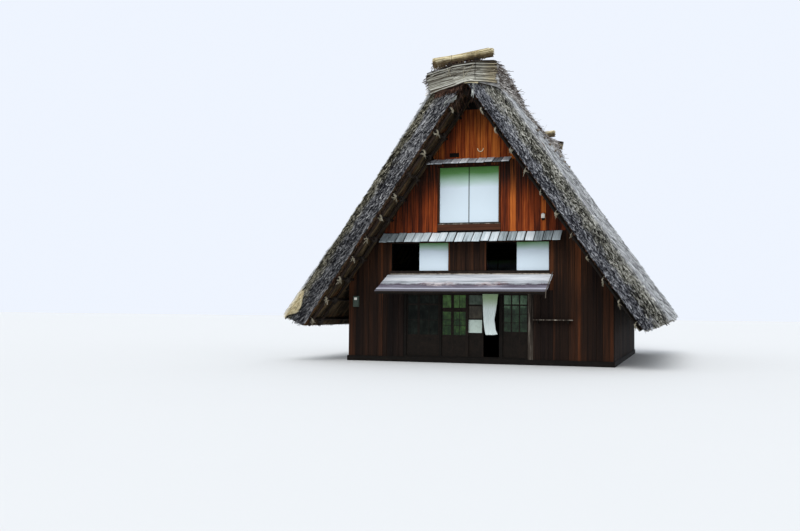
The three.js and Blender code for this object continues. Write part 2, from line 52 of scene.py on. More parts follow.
view = {
    "place": (6.068, -30.539, 1.556),            # metres, in front of the house and to its right
    "yaw": 17.916, "pitch": 2.764, "roll": 0.55,  # degrees, to the left, up and anticlockwise
    "lens": 40.89, "sensor": 36.0,               # millimetres
}


def makeCamera():
    yaw, pitch, roll = (math.radians(view[key]) for key in ("yaw", "pitch", "roll"))
    ahead = Vector((-math.sin(yaw) * math.cos(pitch), math.cos(yaw) * math.cos(pitch), math.sin(pitch)))
    level = Vector((math.cos(yaw), math.sin(yaw), 0))
    above = level.cross(ahead)
    right = level * math.cos(roll) + above * math.sin(roll)
    up = above * math.cos(roll) - level * math.sin(roll)
    turn = Matrix((right, up, -ahead)).transposed()
    camera = bpy.data.objects.new("camera", bpy.data.cameras.new("camera"))
    camera.data.lens = view["lens"]
    camera.data.sensor_width = view["sensor"]
    camera.data.clip_end = 500
    scene.collection.objects.link(camera)
    camera.matrix_world = Matrix.Translation(view["place"]) @ turn.to_4x4()
    scene.camera = camera


makeCamera()
print("camera placed")


# Sizes that several pieces share, in metres

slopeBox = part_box("right_thatch")
roof = {
    "pitch": math.radians(55.09),
    "thickness": 0.72,               # thatch, square to the slope
    "capEdge": 1.08,                 # half the ridge's width, where the outer faces start
    "eave": slopeBox[1].x,
    "verge": slopeBox[1].y,
    "innerApex": slopeBox[1].z,      # where the two undersides meet
    "eaveCut": 0.12,                 # the underside stops this far short of a square end
    "sagLeft": 0.085, "sagRight": 0.02,            # how far each outer face lies under its plane
    "sagMiddle": 5.6, "sagReach": 3.4,
}
cosPitch, sinPitch, tanPitch = math.cos(roof["pitch"]), math.sin(roof["pitch"]), math.tan(roof["pitch"])
roof["apex"] = roof["innerApex"] + roof["thickness"] / cosPitch
roof["eaveDown"] = roof["eave"] / cosPitch
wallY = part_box("front_wall_left")[0].y   # outer face of the front gable walls
needle = {"pitch": 1.2, "count": 7, "z": 6.95, "reach": 1.70}
ends = {"front": -1, "rear": 1}          # the two gables, and which way each looks along Y


# A point of a slope: distance down the outer face, depth under that face, place along the ridge
def onSlope(side, down, depth, y):
    x = down * cosPitch - depth * sinPitch
    z = roof["apex"] - down * sinPitch - depth * cosPitch
    return Vector((side * x, y, z))


def undersideZ(x):
    return roof["innerApex"] - abs(x) * tanPitch


def blendSteps(low, high, value):
    share = min(1, max(0, (value - low) / (high - low)))
    return share * share * (3 - 2 * share)


def ripple(u, v, w):
    return noise.noise(Vector((u, v, w)))


# Node trees: Plug wraps one output so that maths on it reads as an expression, and Maker adds any node

def feed(tree, slot, item):
    if isinstance(item, Plug):
        tree.links.new(item.socket, slot)
    elif slot.type == "RGBA" and len(item) == 3:
        slot.default_value = (*item, 1)
    else:
        slot.default_value = item


def maths(tree, operation, *items):
    made = tree.nodes.new("ShaderNodeMath")
    made.operation = operation
    for slot, item in zip(made.inputs, items):
        feed(tree, slot, item)
    return Plug(tree, made.outputs[0])


class Plug:
    def __init__(self, tree, socket):
        self.tree = tree
        self.socket = socket

    def __add__(self, other):
        return maths(self.tree, "ADD", self, other)

    def __radd__(self, other):
        return maths(self.tree, "ADD", other, self)

    def __sub__(self, other):
        return maths(self.tree, "SUBTRACT", self, other)

    def __rsub__(self, other):
        return maths(self.tree, "SUBTRACT", other, self)

    def __mul__(self, other):
        return maths(self.tree, "MULTIPLY", self, other)

    def __rmul__(self, other):
        return maths(self.tree, "MULTIPLY", other, self)

    def __truediv__(self, other):
        return maths(self.tree, "DIVIDE", self, other)

    def __pow__(self, other):
        return maths(self.tree, "POWER", self, other)

    def __abs__(self):
        return maths(self.tree, "ABSOLUTE", self)

    # a soft step from 0 at the first value to 1 at the second
    def between(self, low, high):
        sockets = {"Value": self, "From Min": low, "From Max": high}
        return Maker(self.tree).add("ShaderNodeMapRange", {"interpolation_type": "SMOOTHSTEP"}, sockets)

    def noise(self, stretch, detail=3.0, rough=0.6, scale=1.0):
        maker = Maker(self.tree)
        where = maker.vectors("MULTIPLY", self, stretch)
        sockets = {"Vector": where, "Scale": scale, "Detail": detail, "Roughness": rough}
        return maker.add("ShaderNodeTexNoise", {}, sockets)


class Maker:
    def __init__(self, tree):
        self.tree = tree

    def add(self, kind, settings=None, sockets=None, out=0):
        node = self.tree.nodes.new(kind)
        for key, value in (settings or {}).items():
            if key == "stops":
                fillRamp(node.color_ramp, value)
            else:
                setattr(node, key, value)
        for key, value in (sockets or {}).items():
            feed(self.tree, node.inputs[key], value)
        return Plug(self.tree, node.outputs[out])

    def maths(self, operation, *items):
        return maths(self.tree, operation, *items)

    def vector(self, x=0.0, y=0.0, z=0.0):
        return self.add("ShaderNodeCombineXYZ", {}, {0: x, 1: y, 2: z})

    # vector maths on one, two or, with a scale, one and a number
    def vectors(self, operation, *items, scale=None, out=0):
        sockets = dict(enumerate(items))
        if scale is not None:
            sockets["Scale"] = scale
        return self.add("ShaderNodeVectorMath", {"operation": operation}, sockets, out)


def fillRamp(ramp, stops):
    while len(ramp.elements) < len(stops):
        ramp.elements.new(1)
    for element, (place, colour) in zip(ramp.elements, stops):
        element.position = place
        element.color = (*colour, 1)


class Finish(Maker):
    def __init__(self, name):
        self.material = bpy.data.materials.new(name)
        self.material.use_nodes = True
        super().__init__(self.material.node_tree)
        self.tree.nodes.clear()
        self.shader = self.tree.nodes.new("ShaderNodeBsdfPrincipled")
        end = self.tree.nodes.new("ShaderNodeOutputMaterial")
        self.tree.links.new(self.shader.outputs[0], end.inputs["Surface"])
        self.shader.inputs["Specular IOR Level"].default_value = 0.15
        self.place = self.add("ShaderNodeTexCoord", out="Object")
        self.x, self.y, self.z = (
            self.add("ShaderNodeSeparateXYZ", {}, {0: self.place}, axis) for axis in range(3))
        self.tone = self.add("ShaderNodeAttribute", {"attribute_name": "tone"}, out="Fac")

    def ramp(self, factor, stops):
        return self.add("ShaderNodeValToRGB", {"stops": stops}, {0: factor})

    def mix(self, factor, a, b, blend="MIX"):
        settings = {"data_type": "RGBA", "blend_type": blend}
        return self.add("ShaderNodeMix", settings, {0: factor, 6: a, 7: b}, out=2)

    def give(self, colour, rough, height=None, distance=0.01):
        feed(self.tree, self.shader.inputs["Base Color"], colour)
        feed(self.tree, self.shader.inputs["Roughness"], rough)
        if height is not None:
            bump = self.add("ShaderNodeBump", {}, {"Height": height, "Distance": distance, "Strength": 1.0})
            feed(self.tree, self.shader.inputs["Normal"], bump)
        return self.material


# Thatch finishes. Straw runs down the slope: patterns use the distance down it and the depth into it

thatchLook = {                       # dark, middle and light
    "slope": [(0.19, 0.19, 0.195), (0.47, 0.48, 0.485), (0.74, 0.75, 0.75)],
    "flank": [(0.055, 0.043, 0.035), (0.42, 0.395, 0.365), (0.84, 0.81, 0.77)],
    "verge": [(0.008, 0.008, 0.011), (0.105, 0.109, 0.125), (0.46, 0.47, 0.49)],
    "vergeOuter": [(0.010, 0.009, 0.007), (0.20, 0.195, 0.155), (0.62, 0.61, 0.54)],
    "fresh": [(0.05, 0.035, 0.018), (0.48, 0.39, 0.21), (0.86, 0.77, 0.52)],
}
vergeLook = {
    # tints of the left verge's zones
    "leftInner": (1.08, 1.05, 1.0), "leftOuter": (0.6324, 0.5952, 0.5084),
    "zoneDepth": 0.40, "leftZone": 0.10,     # where the outer zone ends, and how much sooner on the left
    "litEdgeDepth": (0.12, 0.09),               # the painted highlight on the outermost straw fades out over this depth
    # new straw at the foot of the left verge: where it starts, its depth, and how that swells and tapers
    "wedge": {"down": 8.58, "top": 0.17, "swell": 0.19, "taper": 0.22},
}
slopeLook = {
    "rim": (0.10, 0.02),                     # the right slope is darker this close to its verges
    "moss": (0.12, 0.15, 0.06), "stain": (0.05, 0.048, 0.05), "stainLength": 0.9, "stainWidth": 0.10,
    "brown": (0.055, 0.030, 0.019), "lipShadowTop": 8.38,    # a painted shadow in dark reddish brown under the lip of the cap's top, and the upper edge of the cap's flanks
}


def strawRamp(finish, factor, colours, low=0.25, high=0.75):
    return finish.ramp(factor, list(zip((low, (low + high) / 2, high), colours)))


# Distance down the slope and depth under its face, as plugs, and the pattern's place
def strawPlace(finish, skew=0.0):
    drop = roof["apex"] - finish.z
    down = abs(finish.x) * cosPitch + drop * sinPitch
    depth = drop * cosPitch - abs(finish.x) * sinPitch
    if skew:
        return down, depth, finish.vector(down + depth * 0.5, finish.y, depth - down * skew)
    return down, depth, finish.vector(down, finish.y, depth)


def slopeThatch(name, onCap=False):
    finish = Finish(name)
    x, y = finish.x, finish.y
    down, _, where = strawPlace(finish)
    long = where.noise((0.28, 1.5, 1), 6, 0.72)
    streaks = where.noise((0.9, 15, 3), 5, 0.62)
    fine = where.noise((4, 70, 20))
    patches = where.noise((0.55, 1, 1), 3, 0.55, 0.9)
    factor = long * 0.42 + streaks * 0.42 + fine * 0.35 + patches * 0.15 - 0.17 + (finish.tone - 0.5) * 0.46
    start, stop = (roof["verge"] - inwards for inwards in slopeLook["rim"])
    factor = factor - abs(y).between(start, stop) * x.between(-0.1, 0.1) * 0.10
    colour = strawRamp(finish, factor, thatchLook["flank" if onCap else "slope"], 0.36, 0.66)
    # a dark stain runs down below each needle pole
    half = needle["pitch"] / 2
    beside = abs(finish.maths("WRAP", y, half, -half)) / slopeLook["stainWidth"]
    reach = abs(y).between(half * needle["count"], half * needle["count"] - 0.1)
    start = (roof["apex"] - needle["z"]) / sinPitch
    below = down.between(start - 0.05, start + 0.1)
    below = below * down.between(start + slopeLook["stainLength"], start + 0.25)
    stain = (beside + (streaks - 0.5) * 1.6).between(1.3, 0.2) * below * reach
    colour = finish.mix(stain * 0.6, colour, slopeLook["stain"])
    mossy = where.noise((1, 1, 1), 4, 0.6, 0.8).between(0.6, 0.72) * 0.3
    colour = finish.mix(mossy, colour, slopeLook["moss"])
    if onCap:
        # painted shadow under the lip of the cap's top: dark reddish brown along the upper part of the
        # flanks
        top = slopeLook["lipShadowTop"] - y.between(-5.6, -2.1) * 0.30
        top = top + y.between(5.1, 5.6) * 0.23
        top = top - x.between(0.5, -0.5) * 0.24
        brown = (finish.z - top + (patches - 0.5) * 0.5).between(-0.36, -0.22)
        brown = brown * streaks.between(0.60, 0.44)
        colour = finish.mix(brown * 0.75, colour, slopeLook["brown"])
    return finish.give(colour, 1.0, streaks * 0.6 + fine * 0.4, 0.03 if onCap else 0.014)


# The cut face of a verge: blue-grey inside, olive with dark holes outside, and darker on the left side
def vergeThatch():
    finish = Finish("verge_thatch")
    down, depth, where = strawPlace(finish, 0.1)
    strokes = where.noise((8, 18, 56), 5, 0.76)
    clumps = where.noise((3, 4, 7))
    holes = where.noise((15, 15, 44), 4, 0.7)
    large = where.noise((0.9, 1, 3))
    tone = (finish.tone - 0.5) * 0.36 + (large - 0.5) * 0.35
    inner = strawRamp(finish, strokes * 0.83 + clumps * 0.17 + tone, thatchLook["verge"], 0.41, 0.64)
    outer = strawRamp(finish, holes * 0.6 + strokes * 0.4 + tone, thatchLook["vergeOuter"], 0.41, 0.62)
    onLeft = finish.x.between(0.1, -0.1)
    edge = vergeLook["zoneDepth"] - onLeft * vergeLook["leftZone"]
    zone = (depth - edge + (clumps - 0.5) * 0.45).between(0.10, -0.10)
    dim = finish.mix(zone, vergeLook["leftInner"], vergeLook["leftOuter"])
    dim = finish.mix(down.between(5.0, 7.0) * (1.0 - zone) * 0.32, dim, (0.0, 0.0, 0.0))
    colour = finish.mix(zone, inner, outer)
    colour = finish.mix(onLeft, colour, finish.mix(1.0, colour, dim, "MULTIPLY"))
    colour = finish.mix(down.between(4.0, 7.5) * 0.15, colour, (0.02, 0.02, 0.022))
    # the outermost straw is as light as the slope: a thin line on the left, which is a painted highlight
    # where the sky lights the edge, and a soft band on the right
    line = (depth + (strokes - 0.5) * 0.03).between(*vergeLook["litEdgeDepth"])
    soft = (depth + (holes - 0.5) * 0.35).between(0.16, -0.02) * (1.0 - onLeft) * 0.75
    pale = strawRamp(finish, strokes * 0.5 + holes * 0.5 + tone, thatchLook["slope"], 0.38, 0.62)
    colour = finish.mix(finish.maths("MAXIMUM", line * onLeft * 0.9, soft), colour, pale)
    # the wedge of new straw, with the painted highlight on its outer edge and a painted shadow as a dark
    # line under its step
    wedge = vergeLook["wedge"]
    low = wedge["down"]
    limit = wedge["top"] + down.between(low, low + 0.6) * wedge["swell"]
    limit = limit - down.between(low + 0.65, low + 1.0) * wedge["taper"]
    within = depth - limit + (strokes - 0.5) * 0.05
    onFront = onLeft * finish.y.between(-5.0, -5.2)
    inWedge = (down + (strokes - 0.5) * 0.3).between(low, low + 0.12)
    inWedge = inWedge * (within.between(0.02, -0.01) * onFront)
    factor = strokes * 0.8 + clumps * 0.2 + finish.tone * 0.2
    fresh = strawRamp(finish, factor, thatchLook["fresh"], 0.37, 0.70)
    fresh = finish.mix(0.05, fresh, (0.74, 0.68, 0.53))
    fresh = finish.mix(line * 0.7, fresh, (0.80, 0.76, 0.65))
    colour = finish.mix(inWedge, colour, fresh)
    # painted shadow: a dark line where the wedge steps out over the older straw
    step = abs(within - 0.035).between(0.03, 0.015) * down.between(low + 0.4, low + 0.55)
    colour = finish.mix(step * onFront * 0.8, colour, (0.012, 0.011, 0.009))
    return finish.give(colour, 1.0, strokes * 0.5 + holes * 0.5, 0.04)


def eaveThatch():
    finish = Finish("eave_thatch")
    where = strawPlace(finish)[2]
    stretched = finish.vectors("MULTIPLY", where, (40, 55, 55))
    straws = finish.add("ShaderNodeTexVoronoi", {}, {"Vector": stretched, "Scale": 1.0}, out="Distance")
    clumps = where.noise((3, 5, 9), 4)
    factor = clumps * 0.7 + straws * 0.35 + (finish.tone - 0.5) * 0.3
    colour = strawRamp(finish, factor, thatchLook["vergeOuter"], 0.3, 0.7)
    return finish.give(colour, 1.0, clumps * 0.6 - straws * 0.4, 0.02)


def soffitThatch():
    finish = Finish("soffit_thatch")
    where = strawPlace(finish)[2]
    stalks = where.noise((2, 60, 10), 4)
    clumps = where.noise((2, 4, 4))
    colour = finish.ramp(stalks * 0.6 + clumps * 0.4, [
        (0.42, (0.010, 0.007, 0.004)), (0.5, (0.05, 0.034, 0.017)), (0.61, (0.18, 0.125, 0.065))])
    rust = where.noise((1.5, 2, 2)).between(0.55, 0.68)
    colour = finish.mix(rust * 0.6, colour, (0.13, 0.052, 0.016))
    return finish.give(colour, 1.0, stalks, 0.02)


def ridgeThatch():
    finish = Finish("ridge_thatch")
    strokes = finish.place.noise((2.2, 38, 34), 4, 0.65)
    clumps = finish.place.noise((1.5, 5, 8))
    factor = strokes * 0.6 + clumps * 0.4 + (finish.tone - 0.5) * 0.4
    colour = finish.ramp(factor, [
        (0.34, (0.03, 0.026, 0.022)), (0.46, (0.20, 0.195, 0.185)),
        (0.56, (0.38, 0.38, 0.37)), (0.70, (0.62, 0.61, 0.58))])
    # the strip along the edge of the top is darker and redder
    worn = abs(finish.x).between(0.70, 0.9) * finish.z.between(8.0, 8.15)
    worn = worn * clumps.between(0.42, 0.6)
    colour = finish.mix(worn * 0.75, colour, (0.085, 0.05, 0.035))
    return finish.give(colour, 1.0, strokes, 0.02)


# Straw stalks seen from the side, in the layers at the ends of the ridge
def stalkFinish(name, stops):
    finish = Finish(name)
    along = finish.place.noise((3, 26, 26), 4)
    colour = finish.ramp(finish.tone * 0.7 + along * 0.45 - 0.08, stops)
    tan = finish.x.between(0.45, 0.8) * 0.7
    colour = finish.mix(tan, colour, finish.mix(1.0, colour, (1.0, 0.86, 0.62), "MULTIPLY"))
    return finish.give(colour, 0.95, along, 0.006)


# Straw of the end bundles, with painted shade on their lower half
def freshStraw():
    finish = Finish("fresh_straw")
    grain = finish.place.noise((14, 60, 60))
    clumps = finish.place.noise((1, 1, 1), scale=6.0)
    factor = grain * 0.45 + clumps * 0.25 + finish.tone * 0.55 - 0.07
    colour = strawRamp(finish, factor, thatchLook["fresh"], 0.25, 0.72)
    # painted shade: each round bundle darkens below its axis
    low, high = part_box("front_ridge_bundle")
    radius = (high.y - low.y) / 2
    rise = (high.z - low.z - 2 * radius) / (high.x - low.x)
    level = finish.z - (low.z + radius) - (finish.x - low.x) * rise
    under = (level + (clumps - 0.5) * 0.12).between(0.02, -radius * 0.7)
    under = under * finish.z.between(8.2, 8.3)
    colour = finish.mix(under * 0.85, colour, (0.060, 0.032, 0.012))
    return finish.give(colour, 0.85, grain, 0.006)


# Timber finishes: the grain is drawn out along one axis, and each board has its own tone

timberLook = {
    "red": {"grain": (24, 24, 0.8), "rough": 0.8, "stops": [
        (0.20, (0.010, 0.003, 0.0015)), (0.38, (0.078, 0.013, 0.0035)),
        (0.58, (0.26, 0.045, 0.008)), (0.78, (0.56, 0.15, 0.024))]},
    "dark": {"grain": (22, 22, 0.7), "rough": 0.85, "stops": [
        (0.25, (0.007, 0.003, 0.0018)), (0.50, (0.031, 0.0125, 0.0055)),
        (0.75, (0.105, 0.033, 0.011)), (0.95, (0.28, 0.075, 0.018))]},
    "ground": {"grain": (22, 22, 0.7), "rough": 0.85, "stops": [
        (0.25, (0.004, 0.002, 0.0015)), (0.55, (0.014, 0.007, 0.0045)), (0.85, (0.055, 0.029, 0.019))]},
    "black": {"grain": (20, 20, 20), "rough": 0.8, "stops": [
        (0.25, (0.004, 0.003, 0.002)), (0.60, (0.014, 0.009, 0.006)), (0.85, (0.045, 0.028, 0.019))]},
    "silver": {"grain": (34, 2.2, 2.2), "rough": 0.85, "stops": [
        (0.15, (0.06, 0.065, 0.07)), (0.36, (0.24, 0.26, 0.275)),
        (0.56, (0.52, 0.55, 0.57)), (0.80, (0.88, 0.90, 0.91))]},
    "pale": {"grain": (34, 2.2, 2.2), "rough": 0.85, "stops": [
        (0.15, (0.10, 0.115, 0.12)), (0.36, (0.33, 0.39, 0.405)),
        (0.56, (0.60, 0.68, 0.70)), (0.80, (0.86, 0.90, 0.91))]},
    "sill": {"grain": (0.9, 22, 22), "rough": 0.85, "stops": [
        (0.25, (0.02, 0.008, 0.005)), (0.55, (0.10, 0.036, 0.018)), (0.85, (0.20, 0.085, 0.045))]},
    "rough": {"grain": (24, 24, 1.2), "rough": 0.9, "stops": [
        (0.25, (0.025, 0.018, 0.013)), (0.52, (0.13, 0.108, 0.085)), (0.80, (0.46, 0.40, 0.32))]},
    "weathered": {"grain": (24, 24, 1.2), "rough": 0.9, "stops": [
        (0.28, (0.010, 0.007, 0.005)), (0.52, (0.055, 0.044, 0.034)), (0.80, (0.36, 0.32, 0.26))]},
    "floor": {"grain": (16, 1.0, 16), "rough": 0.7, "stops": [
        (0.25, (0.02, 0.014, 0.009)), (0.6, (0.07, 0.046, 0.028)), (0.9, (0.13, 0.09, 0.06))]},
}


# Each board takes its own stretch of the grain
def boardPlace(finish):
    tone = finish.tone
    return finish.vectors("ADD", finish.place, finish.vector(tone * 7, tone * 11, tone * 5))


def timber(name, kind, streak=0.5, toneWeight=0.45, contrast=1.0, groundShade=0.0):
    look, finish = timberLook[kind], Finish(name)
    where = boardPlace(finish)
    grain = where.noise(look["grain"], 5, 0.65)
    wide = where.noise(look["grain"], scale=0.28)
    factor = (grain * streak + wide * (1 - streak) - 0.5) * contrast + 0.5 + (finish.tone - 0.5) * toneWeight
    colour = finish.ramp(factor, look["stops"])
    if groundShade:
        colour = finish.mix(finish.z.between(2.9, 1.7) * groundShade, colour, (0.006, 0.003, 0.002))
    return finish.give(colour, look["rough"], grain, 0.006)


# The boards of the gable: fine dark streaks, and painted shade close under the thatch and up in the attic
def gableTimber():
    look, finish = timberLook["red"], Finish("gable_boards")
    x, y, z = finish.x, finish.y, finish.z
    where = boardPlace(finish)
    grain = where.noise(look["grain"], 5, 0.65)
    fine = where.noise((70, 70, 1.6))
    wide = where.noise((5, 5, 0.5))
    factor = (grain * 0.45 + fine * 0.25 + wide * 0.30 - 0.5) * 1.55 + 0.51 + (finish.tone - 0.5) * 0.40
    factor = factor + z.between(5.9, 6.0) * 0.10
    colour = finish.ramp(factor, look["stops"])
    # painted shade under the thatch, deeper on the left as seen from the gable, and high in the attic
    drop = roof["innerApex"] - abs(x) * tanPitch - z
    onLeft = (x * y.between(1.0, -1.0)).between(0.2, -0.6) * z.between(6.3, 5.8)
    shade = drop.between(0.8 + onLeft * 0.6, 0.0) * (onLeft * 0.22 + 0.56)
    shade = finish.maths("MAXIMUM", shade, z.between(6.5, 7.4) * 0.68)
    # the boards under the upper pent roof lie in its shade
    underPent = z.between(4.65, 5.6) * z.between(6.0, 5.95)
    shade = finish.maths("MAXIMUM", shade, underPent * 0.95)
    streaked = shade * grain.between(0.75, 0.30)
    dark = finish.maths("MINIMUM", shade * 0.65 + streaked * 0.5, 0.96)
    return finish.give(finish.mix(dark, colour, (0.010, 0.005, 0.003)), look["rough"], grain, 0.006)


def canopyTimber():
    finish = Finish("canopy_boards")
    x, reach = finish.x, wallY - finish.y
    grain = finish.place.noise((0.9, 22, 22), 5, 0.7)
    patches = finish.place.noise((0.5, 2, 2), scale=1.6)
    factor = (grain - 0.5) * 1.1 + 0.5 + (patches - 0.5) * 0.35 + (finish.tone - 0.5) * 0.25
    upper, lower = (finish.ramp(factor, list(zip((0.34, 0.5, 0.66), colours))) for colours in (
        [(0.26, 0.28, 0.30), (0.60, 0.63, 0.66), (0.84, 0.85, 0.86)],
        [(0.07, 0.055, 0.075), (0.20, 0.19, 0.235), (0.38, 0.37, 0.42)]))
    wave = finish.vector(x).noise((1, 1, 1), 4, 0.65, 1.7)
    out = reach + (wave - 0.5) * 0.45
    colour = finish.mix(out.between(0.70, 0.78), upper, lower)
    band = out.between(0.66, 0.74) * out.between(0.90, 0.78)
    colour = finish.mix(band * 0.65, colour, (0.10, 0.075, 0.10))
    # two worn places in the middle, with pale and rusty spots
    spot = finish.place.noise((4, 14, 14), 4, 0.65)
    left, right = abs(x + 0.95).between(0.70, 0.25), abs(x - 0.62).between(0.60, 0.2)
    worn = finish.maths("MAXIMUM", left, right) * out.between(0.52, 0.64)
    worn = worn * out.between(0.92, 0.76)
    colour = finish.mix(worn * spot.between(0.46, 0.56) * 0.8, colour, (0.70, 0.62, 0.61))
    colour = finish.mix(worn * spot.between(0.46, 0.38) * 0.8, colour, (0.26, 0.11, 0.09))
    # a pale line and then painted shadow as a dark edge along the front
    colour = finish.mix(reach.between(1.00, 1.03) * 0.7, colour, (0.58, 0.59, 0.66))
    colour = finish.mix(reach.between(1.08, 1.11) * 0.85, colour, (0.05, 0.045, 0.055))
    return finish.give(colour, 0.8, grain, 0.006)


# Finishes of the small parts

# Paper with painted green light near its top edge
def paperScreen(name, node, greenLightDepth, start=0.0):
    finish = Finish(name)
    fibres = finish.place.noise((1, 1, 1), 4, 0.6, 30)
    waves = finish.place.noise((1, 1, 3), 2, 0.5, 1.5)
    drop = (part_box(node)[1].z - finish.z + (waves - 0.5) * 0.12) / greenLightDepth + start
    greenTop = finish.ramp(drop, [
        (0.0, (0.045, 0.19, 0.010)), (0.25, (0.085, 0.26, 0.045)),
        (0.6, (0.36, 0.53, 0.41)), (1.0, (0.68, 0.78, 0.84))])
    colour = finish.mix(fibres * 0.12, greenTop, (0.60, 0.66, 0.70))
    return finish.give(colour, 0.6, waves, 0.01)


# Glass panes: their colours are painted, standing for the reflections and the dark rooms seen in the glass,
# with a painted lighter band from lightAbove up
def windowGlass(name, colours, lightAbove=None, lift=0.16, shine=0.2):
    finish = Finish(name)
    blotches = finish.place.noise((1, 1, 1.4), 4, 0.6, 3)
    fine = finish.place.noise((1.6, 1, 0.5), scale=9)
    factor = blotches * 0.6 + fine * 0.4
    if lightAbove is not None:
        factor = factor + (finish.z.between(lightAbove - 0.25, lightAbove + 0.06) - 0.35) * lift
    colour = finish.ramp(factor, list(zip((0.38, 0.53, 0.72), colours)))
    finish.shader.inputs["Specular IOR Level"].default_value = shine
    return finish.give(colour, 0.2, blotches, 0.002)


def clothFinish():
    finish = Finish("curtain_cotton")
    weave = finish.place.noise((400, 400, 400), 2, 0.5)
    soft = finish.place.noise((1, 1, 0.5), 3, 0.5, 5)
    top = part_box("door_curtain")[1].z
    greenTop = finish.z.between(top - 0.48, top - 0.08)
    colour = finish.mix(greenTop * 0.9, (0.74, 0.82, 0.79), (0.20, 0.32, 0.11))
    colour = finish.mix(soft * 0.25, colour, (0.60, 0.66, 0.64))
    return finish.give(colour, 0.95, weave, 0.001)


def enamel(name, colour, grime):
    finish = Finish(name)
    dust = finish.place.noise((1, 1, 1), 4, 0.6, 14)
    shade = finish.mix(dust.between(0.45, 0.75) * 0.6, colour, grime)
    return finish.give(shade, 0.4, dust, 0.001)


def ropeFinish(name, light, dark):
    finish = Finish(name)
    twist = finish.place.noise((120, 120, 120))
    patches = finish.place.noise((1, 1, 1), 2, 0.5, 8)
    colour = finish.ramp(twist * 0.6 + patches * 0.4, [(0.35, dark), (0.6, light)])
    return finish.give(colour, 0.95, twist, 0.004)


finishes = {
    "slope": slopeThatch("slope_thatch"),
    "flank": slopeThatch("flank_thatch", onCap=True),
    "verge": vergeThatch(),
    "eave": eaveThatch(),
    "soffit": soffitThatch(),
    "ridge": ridgeThatch(),
    "stalk": stalkFinish("old_stalks", [
        (0.22, (0.014, 0.009, 0.006)), (0.40, (0.12, 0.105, 0.080)),
        (0.60, (0.34, 0.33, 0.275)), (0.86, (0.74, 0.73, 0.64))]),
    "paleStalk": stalkFinish("pale_stalks", [
        (0.15, (0.05, 0.05, 0.045)), (0.45, (0.28, 0.30, 0.28)), (0.80, (0.72, 0.74, 0.69))]),
    "darkStalk": stalkFinish("dark_stalks", [
        (0.2, (0.012, 0.007, 0.005)), (0.5, (0.055, 0.028, 0.019)), (0.9, (0.16, 0.09, 0.06))]),
    "fresh": freshStraw(),
    "red": gableTimber(),
    "dark": timber("dark_boards", "dark", contrast=1.5, groundShade=0.6),
    "ground": timber("ground_boards", "ground", contrast=1.5),
    "pale": timber("pale_boards", "pale", 0.4, 0.42, 1.3),
    "black": timber("black_timber", "black"),
    "silver": timber("silver_boards", "silver", 0.4, 0.42, 1.3),
    "sill": timber("sill_boards", "sill"),
    "rough": timber("rough_timber", "rough", contrast=1.6),
    "weathered": timber("weathered_timber", "weathered", contrast=1.8),
    "floor": timber("floor_boards", "floor"),
    "canopy": canopyTimber(),
    "paperHigh": paperScreen("upper_paper", "front_upper_window_screens", 0.62),
    "paperLow": paperScreen("lower_paper", "front_left_window_screen", 0.36, 0.30),
    "plainPaper": enamel("plain_paper", (0.56, 0.66, 0.58), (0.40, 0.48, 0.42)),
    "gardenGlass": windowGlass("garden_glass", [
        (0.006, 0.022, 0.004), (0.028, 0.068, 0.012), (0.075, 0.165, 0.04)], 1.59),
    "greyGlass": windowGlass("grey_glass", [
        (0.007, 0.015, 0.006), (0.020, 0.044, 0.020), (0.10, 0.17, 0.10)], 1.71, 0.24),
    "darkGlass": windowGlass("dark_glass", [
        (0.002, 0.003, 0.0025), (0.007, 0.009, 0.007), (0.022, 0.028, 0.022)], shine=0.05),
    "paleGlass": windowGlass("pale_glass", [
        (0.035, 0.055, 0.035), (0.07, 0.095, 0.07), (0.15, 0.17, 0.14)]),
    "brownPane": windowGlass("brown_pane", [
        (0.025, 0.020, 0.012), (0.052, 0.044, 0.028), (0.10, 0.085, 0.06)]),
    "cloth": clothFinish(),
    "ivory": enamel("ivory_enamel", (0.82, 0.80, 0.72), (0.50, 0.47, 0.40)),
    "greyEnamel": enamel("grey_enamel", (0.055, 0.075, 0.06), (0.03, 0.035, 0.03)),
    "paleRope": ropeFinish("pale_rope", (0.46, 0.42, 0.32), (0.12, 0.10, 0.06)),
    "darkRope": ropeFinish("dark_rope", (0.05, 0.042, 0.035), (0.015, 0.012, 0.01)),
}
print("finishes made,", len(finishes))


# Mesh tools

def meshFrom(name, points, faces, tones=None, zones=None):
    mesh = bpy.data.meshes.new(name)
    mesh.from_pydata(points, [], faces)
    if zones:
        mesh.polygons.foreach_set("material_index", zones)
    tone = mesh.attributes.new("tone", "FLOAT", "FACE")
    tone.data.foreach_set("value", tones or [0.5] * len(mesh.polygons))
    mesh.update()
    return mesh


def faceOutwards(mesh):
    work = bmesh.new()
    work.from_mesh(mesh)
    bmesh.ops.recalc_face_normals(work, faces=work.faces)
    work.to_mesh(mesh)
    work.free()


def smoothShade(mesh):
    mesh.polygons.foreach_set("use_smooth", [True] * len(mesh.polygons))


# The mesh with one modifier worked into it. A node tree's inputs are set by their identifiers
def shaped(mesh, kind, settings, inputs=None):
    holder = bpy.data.objects.new("holder", mesh)
    scene.collection.objects.link(holder)
    modifier = holder.modifiers.new("shaping", kind)
    for key, value in settings.items():
        setattr(modifier, key, value)
    for item in modifier.node_group.interface.items_tree if inputs else ():
        if item.in_out == "INPUT" and item.name in inputs:
            modifier[item.identifier] = inputs[item.name]
    graph = bpy.context.evaluated_depsgraph_get()
    made = bpy.data.meshes.new_from_object(holder.evaluated_get(graph))
    bpy.data.objects.remove(holder)
    return made


def bevelled(mesh, width=0.003):
    return shaped(mesh, "BEVEL", {"width": width, "segments": 1, "limit_method": "ANGLE"}) if width else mesh


def grow(flow, values, source=None):
    return shaped(source or bpy.data.meshes.new("seed"), "NODES", {"node_group": flow}, values)


